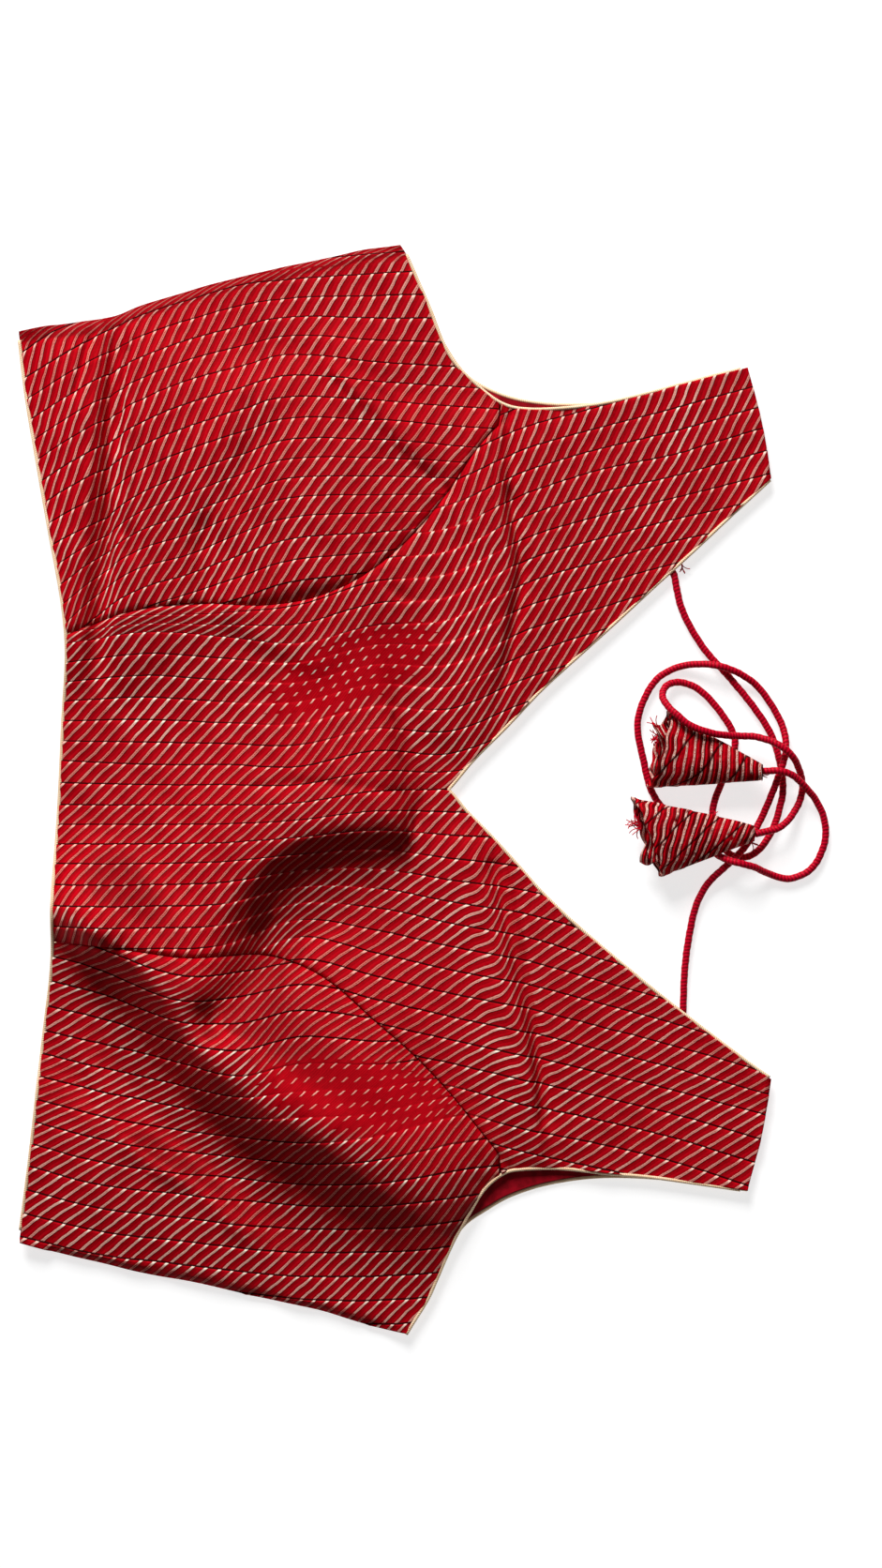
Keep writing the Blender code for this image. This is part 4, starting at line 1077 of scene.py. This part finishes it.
def make_back_half(half, hem, edges, sign, plain_silk, lining, cord_cloth):
    """One half of the back with its lining and its armhole piping; returns the path of its neck piping."""
    side, armhole, neck = edges
    centre = V_POINT[1]
    centre_edge = centre + sign * SEAM_GAP / 2
    piped = PIPED_INSET - PIPING / 2
    start = np.array([[np.interp(centre, hem[:, 1], hem[:, 0]), centre_edge]])
    hem_edge = hem[(hem[:, 1] - centre) * sign > BACK_HEM_STEP / 2][::sign]
    side_edge = between(walked(side, BACK_HEM_STEP, -sign * BACK_INSET), BACK_SIDE_FROM,
                        armhole[0][0] - BACK_SIDE_SHORT)
    limit = np.interp(hem_edge[:, 0], side_edge[:, 0], side_edge[:, 1])
    hem_edge = hem_edge[(limit - hem_edge[:, 1]) * sign > HEM_STOPS]
    corner_y = side_edge[0, 1]
    corner = np.array([[np.interp(corner_y, hem[:, 1], hem[:, 0]), corner_y - sign * CORNER_INSET]])
    arm_edge = between(walked(armhole, BACK_EDGE_STEP, -sign * PIPED_INSET), armhole[0][0], BACK_END)
    neck_edge = between(walked(neck, BACK_EDGE_STEP, sign * PIPED_INSET), BACK_NECK_FROM, BACK_END)
    neck_start = np.array([[neck_edge[0, 0], centre_edge]])
    outline = np.vstack([start, hem_edge, corner, side_edge, arm_edge, neck_edge[::-1], neck_start])
    back = slab("back_" + half + "_cloth", outline, 0.0, BACK_WALL, plain_silk)
    tucked, inward = -sign * LINING_TUCKED, [[LINING_TUCKED, 0]]
    inner = slab("back_lining_" + half + "_cloth", np.vstack([
        start + inward, hem_edge + inward, beside(side_edge, tucked)[1:-1], beside(arm_edge, tucked)[:-1],
        beside(neck_edge, -tucked)[::-1][1:], neck_start - inward]), LINING_FLOOR, LINING_WALL, lining)
    stands_for(back, "back_silk", "back_" + half)
    stands_for(inner, "lining", "back_lining_" + half)
    make_piping("piping_armhole_back_" + half, on_surface(beside(arm_edge, sign * piped)), cord_cloth)
    return beside(neck_edge, -sign * piped)


def make_back(plain_silk, lining, cord_cloth):
    """The two halves of the back, the lining on each, and their piping."""
    hem = walked(HEM_POINTS, BACK_HEM_STEP, -PIPED_INSET)
    cloths = (plain_silk, lining, cord_cloth)
    right = make_back_half("right", hem, (SIDE_RIGHT, BACK_ARMHOLE_RIGHT, BACK_NECK_RIGHT), 1, *cloths)
    left = make_back_half("left", hem, (SIDE_LEFT, BACK_ARMHOLE_LEFT, BACK_NECK_LEFT), -1, *cloths)
    make_piping("piping_neck_back", on_surface(np.vstack([right[::-1], left])), cord_cloth)
    low_hem = between(walked(HEM_POINTS, BACK_EDGE_STEP, -PIPING / 2), *BACK_HEM_PIPED, column=1)
    make_piping("piping_hem_back", on_surface(low_hem), cord_cloth)


def make_cone(name, c, material):
    """A hollow cone of folded cloth, cut aslant at its open mouth and closed at its tip."""
    mouth, tip = np.array(c["mouth"]), np.array(c["tip"])
    bm = bmesh.new()
    bmesh.ops.create_cone(bm, cap_ends=True, segments=CONE_SIDES, radius1=1.0, radius2=0.5, depth=1.0)
    mouth_cap = [face for face in bm.faces if face.calc_center_median().z < -0.49]
    bmesh.ops.delete(bm, geom=mouth_cap, context="FACES_ONLY")
    long_edges = [edge for edge in bm.edges if abs(edge.verts[0].co.z - edge.verts[1].co.z) > 0.9]
    bmesh.ops.subdivide_edges(bm, edges=long_edges, cuts=CONE_RINGS)
    along, around = [], []
    for vert in bm.verts:
        f = vert.co.z + 0.5
        size = 1 - f / 2
        turn = math.atan2(vert.co.y, vert.co.x)
        half = [a + (b - a) * f for a, b in zip(c["mouth_half"], c["tip_half"])]
        run_round = turn * half[0]
        tuck = (f * CONE_LENGTH + run_round * CONE_TUCK_SLANT) / CONE_TUCK
        flute = 1 + math.sin(turn * CONE_FLUTES + 4 * f)
        fold = 1 - CONE_TUCK_RISE * (1 - (tuck - math.floor(tuck))) - CONE_FLUTE_DEPTH * flute * (1 - f)
        across, up = vert.co.x / size * half[0] * fold, vert.co.y / size * half[1] * fold
        lean = c["lean"] * across / c["mouth_half"][0] * (1 - f)
        lean += MOUTH_SLANT * (up / half[1] - 1) * (1 - f) + MOUTH_RUFFLE * math.sin(turn * 9) * (1 - f)**4
        middle = mouth + (tip - mouth) * f
        along.append(f * CONE_LENGTH + c["stripe_lean"] * across)
        around.append(run_round)
        vert.co = ((middle[0] + lean) * MM, (middle[1] + across) * MM, (middle[2] + up) * MM)
    bmesh.ops.recalc_face_normals(bm, faces=bm.faces)
    piece = finished(bm, name, material)
    numbers(piece.data, along=along, around=around)
    return walled(piece, CONE_WALL)


def inner_ruffle(name, c, material):
    """The raw edge of the cone's cloth, crumpled inside its mouth in waves."""
    mouth, (half_wide, half_high) = c["mouth"], c["mouth_half"]
    bm = bmesh.new()
    bmesh.ops.create_grid(bm, x_segments=RUFFLE_STEPS, y_segments=RUFFLE_STEPS, size=1.0)
    along, around = [], []
    for vert in bm.verts:
        u, v = vert.co.x, vert.co.y
        along.append(u * 9)
        around.append(v * half_wide)
        x = mouth[0] + 2.5 + 5.5 * u + 1.6 * math.sin(3.1 * v + 1.3)
        y = mouth[1] + 0.66 * half_wide * v + 0.8 * math.sin(4 * u)
        z = mouth[2] + half_high * (0.32 * math.sin(5.3 * v + 2.2 * u) - 0.1) + 0.5 * math.sin(9 * v - 3 * u)
        vert.co = (x * MM, y * MM, z * MM)
    bmesh.ops.recalc_face_normals(bm, faces=bm.faces)
    piece = finished(bm, name, material)
    numbers(piece.data, along=along, around=around)
    return walled(piece, RUFFLE_WALL)


def threads(name, start, way, spread, count, length, material):
    """Loose threads that leave one place in a fan."""
    lines = []
    for _ in range(count):
        turn = math.radians(way + random.uniform(-spread, spread))
        bend = random.uniform(-THREAD_BEND, THREAD_BEND)
        reach = length * random.uniform(THREAD_SHORTEST, 1.0)
        x, y, z = start[0], start[1] + random.uniform(-1, 1) * spread / 30, start[2]
        rise = random.uniform(*THREAD_RISE)
        line = []
        for _ in range(THREAD_STEPS + 1):
            line.append((x, y, max(z, THREAD)))
            x += reach / THREAD_STEPS * math.cos(turn)
            y += reach / THREAD_STEPS * math.sin(turn)
            z += rise
            turn += bend
        lines.append(line)
    return finished(drawn(name, lines, THREAD, THREAD_ROUNDNESS, caps=False), name, material)


def make_cones(cone_cloth, thread):
    """The two cones on the cord ends, with the ruffle in each and the threads that fray out of them."""
    made = {}
    for name, row in CONES.items():
        c = dict(zip(CONE_COLUMNS, row))
        made[name] = [make_cone(name + "_cloth", c, cone_cloth), inner_ruffle(name + "_ruffle", c, cone_cloth)]
        cone, ruffle = made[name]
        stands_for(cone, "silk", name)
        stands_for(ruffle, "silk")
    for name, tuft in TUFTS.items():
        stands_for(threads(name, *tuft, thread), "dori")
    return made


# The colour mix node's inputs for its share and its two colours, and its colour output
MIX_SOCKETS = (0, 6, 7)
MIX_RESULT = 2


class Value:
    """A node's output, which adds and multiplies like a number."""

    def __init__(self, finish, socket):
        self.finish = finish
        self.socket = socket

    def __add__(self, other):
        return self.finish.math("ADD", self, other)

    def __sub__(self, other):
        return self.finish.math("SUBTRACT", self, other)

    def __rsub__(self, other):
        return self.finish.math("SUBTRACT", other, self)

    def __mul__(self, other):
        return self.finish.math("MULTIPLY", self, other)

    def __truediv__(self, other):
        return self.finish.math("DIVIDE", self, other)

    def whole(self):
        return self.finish.math("FLOOR", self)

    def fraction(self):
        return self.finish.math("FRACT", self)

    def size(self):
        return self.finish.math("ABSOLUTE", self)

    def sine(self):
        return self.finish.math("SINE", self)

    def wave(self, length):
        """A sine wave along the value."""
        return (self * (2 * math.pi / length)).sine()

    def greater(self, other):
        return self.finish.math("MAXIMUM", self, other)

    def lesser(self, other):
        return self.finish.math("MINIMUM", self, other)

    def step(self, low, high):
        """A smooth step from 0 at low to 1 at high."""
        node = self.finish.tree.nodes.new("ShaderNodeMapRange")
        node.interpolation_type = "SMOOTHSTEP"
        for socket, given in zip(node.inputs, (self, low, high)):
            self.finish.put(socket, given)
        return Value(self.finish, node.outputs[0])


class Finish:
    """A material built from a few node helpers."""

    def __init__(self, name, roughness, specular=0.5):
        self.material = bpy.data.materials.new(name)
        self.material.use_nodes = True
        self.tree = self.material.node_tree
        self.shader = self.tree.nodes["Principled BSDF"]
        self.shader.inputs["Roughness"].default_value = roughness
        self.shader.inputs["Specular IOR Level"].default_value = specular

    def put(self, socket, value):
        """Gives a socket a number, a colour or another node's output."""
        if isinstance(value, Value):
            self.tree.links.new(value.socket, socket)
        elif socket.type == "RGBA":
            socket.default_value = (*value, 1)
        else:
            socket.default_value = value

    def number(self, name):
        """A number that the mesh keeps at its points."""
        node = self.tree.nodes.new("ShaderNodeAttribute")
        node.attribute_name = name
        return Value(self, node.outputs["Fac"])

    def math(self, operation, a, b=0.0):
        node = self.tree.nodes.new("ShaderNodeMath")
        node.operation = operation
        self.put(node.inputs[0], a)
        self.put(node.inputs[1], b)
        return Value(self, node.outputs[0])

    def mix(self, share, a, b):
        """One colour going over into another."""
        node = self.tree.nodes.new("ShaderNodeMix")
        node.data_type = "RGBA"
        for place, value in zip(MIX_SOCKETS, (share, a, b)):
            self.put(node.inputs[place], value)
        return Value(self, node.outputs[MIX_RESULT])

    def noise(self, scale, detail=2.0):
        """Uneven clouds fixed to the piece, around a half."""
        node = self.tree.nodes.new("ShaderNodeTexNoise")
        node.inputs["Scale"].default_value = scale
        node.inputs["Detail"].default_value = detail
        place = self.tree.nodes.new("ShaderNodeTexCoord").outputs["Object"]
        self.tree.links.new(place, node.inputs["Vector"])
        return Value(self, node.outputs["Fac"])

    def wander(self, scale, amount, detail=2.0):
        """Uneven clouds around nothing."""
        return (self.noise(scale, detail) - 0.5) * amount

    def chance(self, value):
        """A random number for each whole value."""
        node = self.tree.nodes.new("ShaderNodeTexWhiteNoise")
        node.noise_dimensions = "1D"
        self.put(node.inputs["W"], value)
        return Value(self, node.outputs["Value"])

    def bump(self, height):
        node = self.tree.nodes.new("ShaderNodeBump")
        node.inputs["Distance"].default_value = MM
        node.inputs["Strength"].default_value = 1.0
        self.put(node.inputs["Height"], height)
        self.tree.links.new(node.outputs["Normal"], self.shader.inputs["Normal"])

    def colour(self, value):
        self.put(self.shader.inputs["Base Color"], value)


# Silk colours, linear
# The red lit, in painted half shade and in painted shade, for the painted shading between stripes; RED_LIT and
# RED_DEEP also tint the weave, the fine lines in the dotted places and the cones
RED_LIT = (0.58, 0.001, 0.008)
RED_HALF_SHADE = (0.33, 0.0006, 0.004)
RED_DEEP = (0.10, 0.0003, 0.001)
# Painted shade, for the creases at the tucks' feet and for steep places
RED_PAINTED_SHADE = (0.02, 0.0002, 0.0004)
# The gold: the stripes' own rims and links are lighter than their middles; on the tucks the painted light moves
# it from GOLD_DULL and GOLD, its tones in painted shade, to GOLD and GOLD_BRIGHT, its tones in painted
# highlight
GOLD_DULL = (0.46, 0.045, 0.038)
GOLD = (0.92, 0.32, 0.25)
GOLD_BRIGHT = (1.0, 0.82, 0.68)
# Stripes: their run in millimetres; half a stripe as a share of it; where its rim starts to shine
STRIPE_RUN = 5.9
STRIPE_HALF = 0.235
STRIPE_RIM = (STRIPE_HALF - 0.17, STRIPE_HALF - 0.09)
# Dashes to a tuck, the share of its room that a dash fills, over 1 where stripes are unbroken, and how much
# less it fills where they are dots; links of gold thread to a tuck
DASHES = 2.0
DASH = 1.1
DASH_SHRINKS = 0.74
LINKS = 10
# Along a tuck, as shares of it: the lip with its painted highlight, the foot with its painted shade, and the
# painted shade in the line where the next lip starts
LIP = (0.18, 0.09)
FOOT = (0.915, 0.96)
FOOT_ENDS = (0.03, 0.0)
# Between stripes, as shares of their run: painted shadow beside the stripe, where the red goes deep, and
# painted half shade far from it
STRIPE_SHADOW_FROM = (0.56, 0.60)
STRIPE_SHADOW_TO = (0.78, 0.64)
HALF_SHADE_FROM = (0.16, 0.34)
# The painted light below which painted shade darkens the gold and red, and over which the gold takes its
# painted highlight
GLINT_PAINTED_SHADE = (-0.05, -0.5)
GLINT_PAINTED_HIGHLIGHT = (0.15, 0.85)
TWILL = 0.5


def off_middle(place):
    """How far a place lies from the middle of a stripe's run, from 0 to 1."""
    return ((place - 0.5) * 2.0).size()


def tucked_silk():
    """Red silk with slanting gold stripes; painted shade at each tuck's foot and in steep places, painted
    shadow beside the stripes, and painted highlights on the gold.
    """
    m = Finish("tucked_silk", 0.42, 0.02)
    tuck = m.number("tuck") + m.wander(70, 0.07)
    share = tuck.fraction()
    plain = (m.number("plain") + m.wander(150, 0.5)).step(0.05, 1.0)
    phase = m.number("phase") + m.wander(110, 0.3, 3) + m.chance(tuck.whole()) * 0.3
    place = phase.fraction()
    off = off_middle(place)
    half_width = STRIPE_HALF - (plain + m.wander(200, 1.0)) * 0.06
    shown = DASH - plain * DASH_SHRINKS - (share * DASHES).fraction()
    stripe = (half_width - off).step(-0.02, 0.02) * shown.step(-0.04, 0.06)
    lip = share.step(*LIP)
    link = (share + phase * 0.1).wave(1 / LINKS).step(0.1, 0.9) * 0.45
    # The gold's own lighter rims and links, with painted highlight at the lips and in the dotted places
    bright = (off.step(*STRIPE_RIM) * 0.7).greater(link).greater(lip.greater(plain))
    # How much painted highlight the gold takes, from the painted light kept at each point
    glint = (m.number("glint") + m.wander(45, 0.7)).step(*GLINT_PAINTED_HIGHLIGHT)
    gold = m.mix(glint, m.mix(bright, GOLD_DULL, GOLD), m.mix(bright, GOLD, GOLD_BRIGHT))
    # Painted highlight where the gold crosses a tuck's lip
    gold = m.mix(lip * 0.2, gold, GOLD_BRIGHT)
    weave = m.noise(900, 3)
    # Painted shading across the red between stripes, and painted shadow beside each stripe
    red = m.mix(place.step(*HALF_SHADE_FROM) * 0.8, RED_LIT, RED_HALF_SHADE)
    red = m.mix(place.step(*STRIPE_SHADOW_TO) * place.step(*STRIPE_SHADOW_FROM), red, RED_DEEP)
    red = m.mix(weave.step(0.35, 0.65) * 0.3, red, RED_LIT)
    fine_lines = m.mix(phase.wave(1 / 4).step(0.0, 1.0) * 0.4, RED_LIT, RED_DEEP)
    red = m.mix(plain * 0.8, red, fine_lines)
    # Painted shade in the crease at each tuck's foot, less on the stripes at the lip, and in steep places
    foot = share.step(*FOOT) + share.step(*FOOT_ENDS)
    foot = foot * (1.0 - m.number("soft") * 0.8) * (1.0 - stripe * lip * 0.8)
    dark = foot.lesser(1.0).greater(m.number("glint").step(*GLINT_PAINTED_SHADE) * 0.4)
    m.colour(m.mix(dark, m.mix(stripe, red, gold), RED_PAINTED_SHADE))
    m.put(m.shader.inputs["Roughness"], 0.55 - stripe * 0.17)
    twill = (phase * STRIPE_RUN + tuck * TUCK_PITCH).wave(TWILL)
    m.bump(stripe * 0.16 + twill * 0.02 + weave * 0.08)
    return m.material


def plain_cloth(name, lit, deep, roughness):
    """Plain woven cloth with a fine slub."""
    m = Finish(name, roughness, 0.06)
    slub = m.noise(260, 3)
    m.colour(m.mix(slub.step(0.35, 0.7), deep, lit))
    m.bump(m.noise(1800) * 0.06 + slub * 0.05)
    return m.material


def slanting_ribs(m, pitch, turns):
    """The angle of ribs that go round a tube on a slant."""
    return m.number("along") * (2 * math.pi / pitch) + m.number("around") * turns


def piping_cloth():
    """Gold cloth cut on the bias round a cord, with fine slanting ribs."""
    m = Finish("piping_cloth", 0.45)
    rib = slanting_ribs(m, 0.9, 2.0).sine()
    tone = m.mix(m.noise(300).step(0.3, 0.7), (0.95, 0.66, 0.40), (1.0, 0.80, 0.55))
    m.colour(m.mix(rib.step(-1.0, 0.2), (0.72, 0.46, 0.25), tone))
    m.bump(rib * 0.06)
    return m.material


def cord_satin():
    """Red satin tube with a fine slanting wale and soft creases."""
    m = Finish("cord_satin", 0.4, 0.06)
    wale = (slanting_ribs(m, 1.6, 1.0) + m.noise(220) * 5.0).sine()
    m.colour(m.mix(wale.step(-1.0, 1.0), (0.30, 0.0008, 0.008), (0.60, 0.001, 0.022)))
    m.bump(wale * 0.06 + m.noise(900) * 0.06)
    return m.material


def cone_silk():
    """The same striped silk, rolled so that its stripes lie round the cone and its tucks slant across it."""
    m = Finish("cone_silk", 0.5, 0.02)
    along, around = m.number("along"), m.number("around")
    tuck = (along + around * CONE_TUCK_SLANT) / CONE_TUCK + m.noise(120) * 0.12
    share = tuck.fraction()
    phase = along / CONE_STRIPE_RUN + around * 0.035 + m.chance(tuck.whole()) * 0.9 + m.noise(150) * 0.25
    place = phase.fraction()
    off = off_middle(place)
    stripe = off.step(0.30, 0.22) * m.noise(160).step(0.28, 0.42)
    bright = off.step(0.08, 0.2).greater(m.noise(1500).step(0.4, 0.6))
    # Painted shading across the red between the stripes
    red = m.mix(place.step(0.95, 0.7), RED_LIT, RED_DEEP)
    red = m.mix(m.noise(90, 3).step(0.4, 0.9), red, RED_LIT)
    # Painted shade in the crease at each tuck's foot
    foot = share.step(0.9, 0.97) + share.step(0.04, 0.0)
    cloth = m.mix(stripe, red, m.mix(bright * 0.6, GOLD_DULL, GOLD_BRIGHT))
    m.colour(m.mix(foot.lesser(0.9), cloth, RED_PAINTED_SHADE))
    m.bump(stripe * 0.3 + m.noise(400, 3) * 0.5)
    return m.material


def floor_paint():
    """The white floor, which shines a little by itself so that shadows stay faint."""
    m = Finish("floor_white", 0.9, 0.1)
    m.colour((0.45, 0.45, 0.45))
    m.put(m.shader.inputs["Emission Color"], (1, 1, 1))
    m.put(m.shader.inputs["Emission Strength"], 0.72)
    return m.material


# Soft square lights that point at the middle of the floor: place and size in metres, and power in watts
LAMPS = {
    "window": ((-0.7, 2.8, 1.7), 1.5, 175),
    "overhead": ((0.1, -0.1, 1.9), 1.2, 2.0),
}
FLOOR_HALF = 4.0
WORLD_LIGHT = 0.07


def make_lamp(name, place, size, power):
    """One soft square light."""
    light = bpy.data.lights.new(name, "AREA")
    light.shape = "SQUARE"
    light.size = size
    light.energy = power
    holder = bpy.data.objects.new(name, light)
    holder.location = place
    x, y, z = place
    holder.rotation_euler = (math.atan2(math.hypot(x, y), z), 0, math.atan2(-x, y) + math.pi)
    bpy.context.collection.objects.link(holder)


def make_studio():
    """Camera straight above, a white floor and soft light that comes mainly from the top of the picture."""
    camera = bpy.data.cameras.new("camera")
    camera.sensor_fit = "VERTICAL"
    camera.sensor_height = SENSOR
    camera.lens = SENSOR * (CAMERA_HEIGHT - CLOTH_LEVEL) / VIEW_HEIGHT
    camera.clip_end = 20
    holder = bpy.data.objects.new("camera", camera)
    holder.location = (VIEW_CENTRE[0] * MM, VIEW_CENTRE[1] * MM, CAMERA_HEIGHT * MM)
    bpy.context.collection.objects.link(holder)
    bpy.context.scene.camera = holder
    bm = bmesh.new()
    bmesh.ops.create_grid(bm, x_segments=1, y_segments=1, size=FLOOR_HALF)
    finished(bm, "floor", floor_paint(), smooth=False)
    world = bpy.data.worlds.new("studio")
    world.use_nodes = True
    sky = world.node_tree.nodes["Background"]
    sky.inputs["Color"].default_value = (1, 1, 1, 1)
    sky.inputs["Strength"].default_value = WORLD_LIGHT
    bpy.context.scene.world = world
    bpy.context.scene.view_settings.view_transform = "Standard"
    for name, lamp in LAMPS.items():
        make_lamp(name, *lamp)


def main():
    """The studio and every piece of the blouse."""
    make_studio()
    cords = make_cords(cord_satin())
    thread = plain_cloth("thread_silk", (0.70, 0.006, 0.03), (0.40, 0.002, 0.01), 0.6)
    cones = make_cones(cone_silk(), thread)
    declare_cords(cords)
    make_front(tucked_silk())
    gold = piping_cloth()
    make_front_piping(gold)
    make_back(plain_cloth("plain_silk", (0.42, 0.004, 0.014), (0.26, 0.003, 0.008), 0.5),
              plain_cloth("lining_cloth", (0.36, 0.003, 0.012), (0.22, 0.002, 0.007), 0.65), gold)


main()
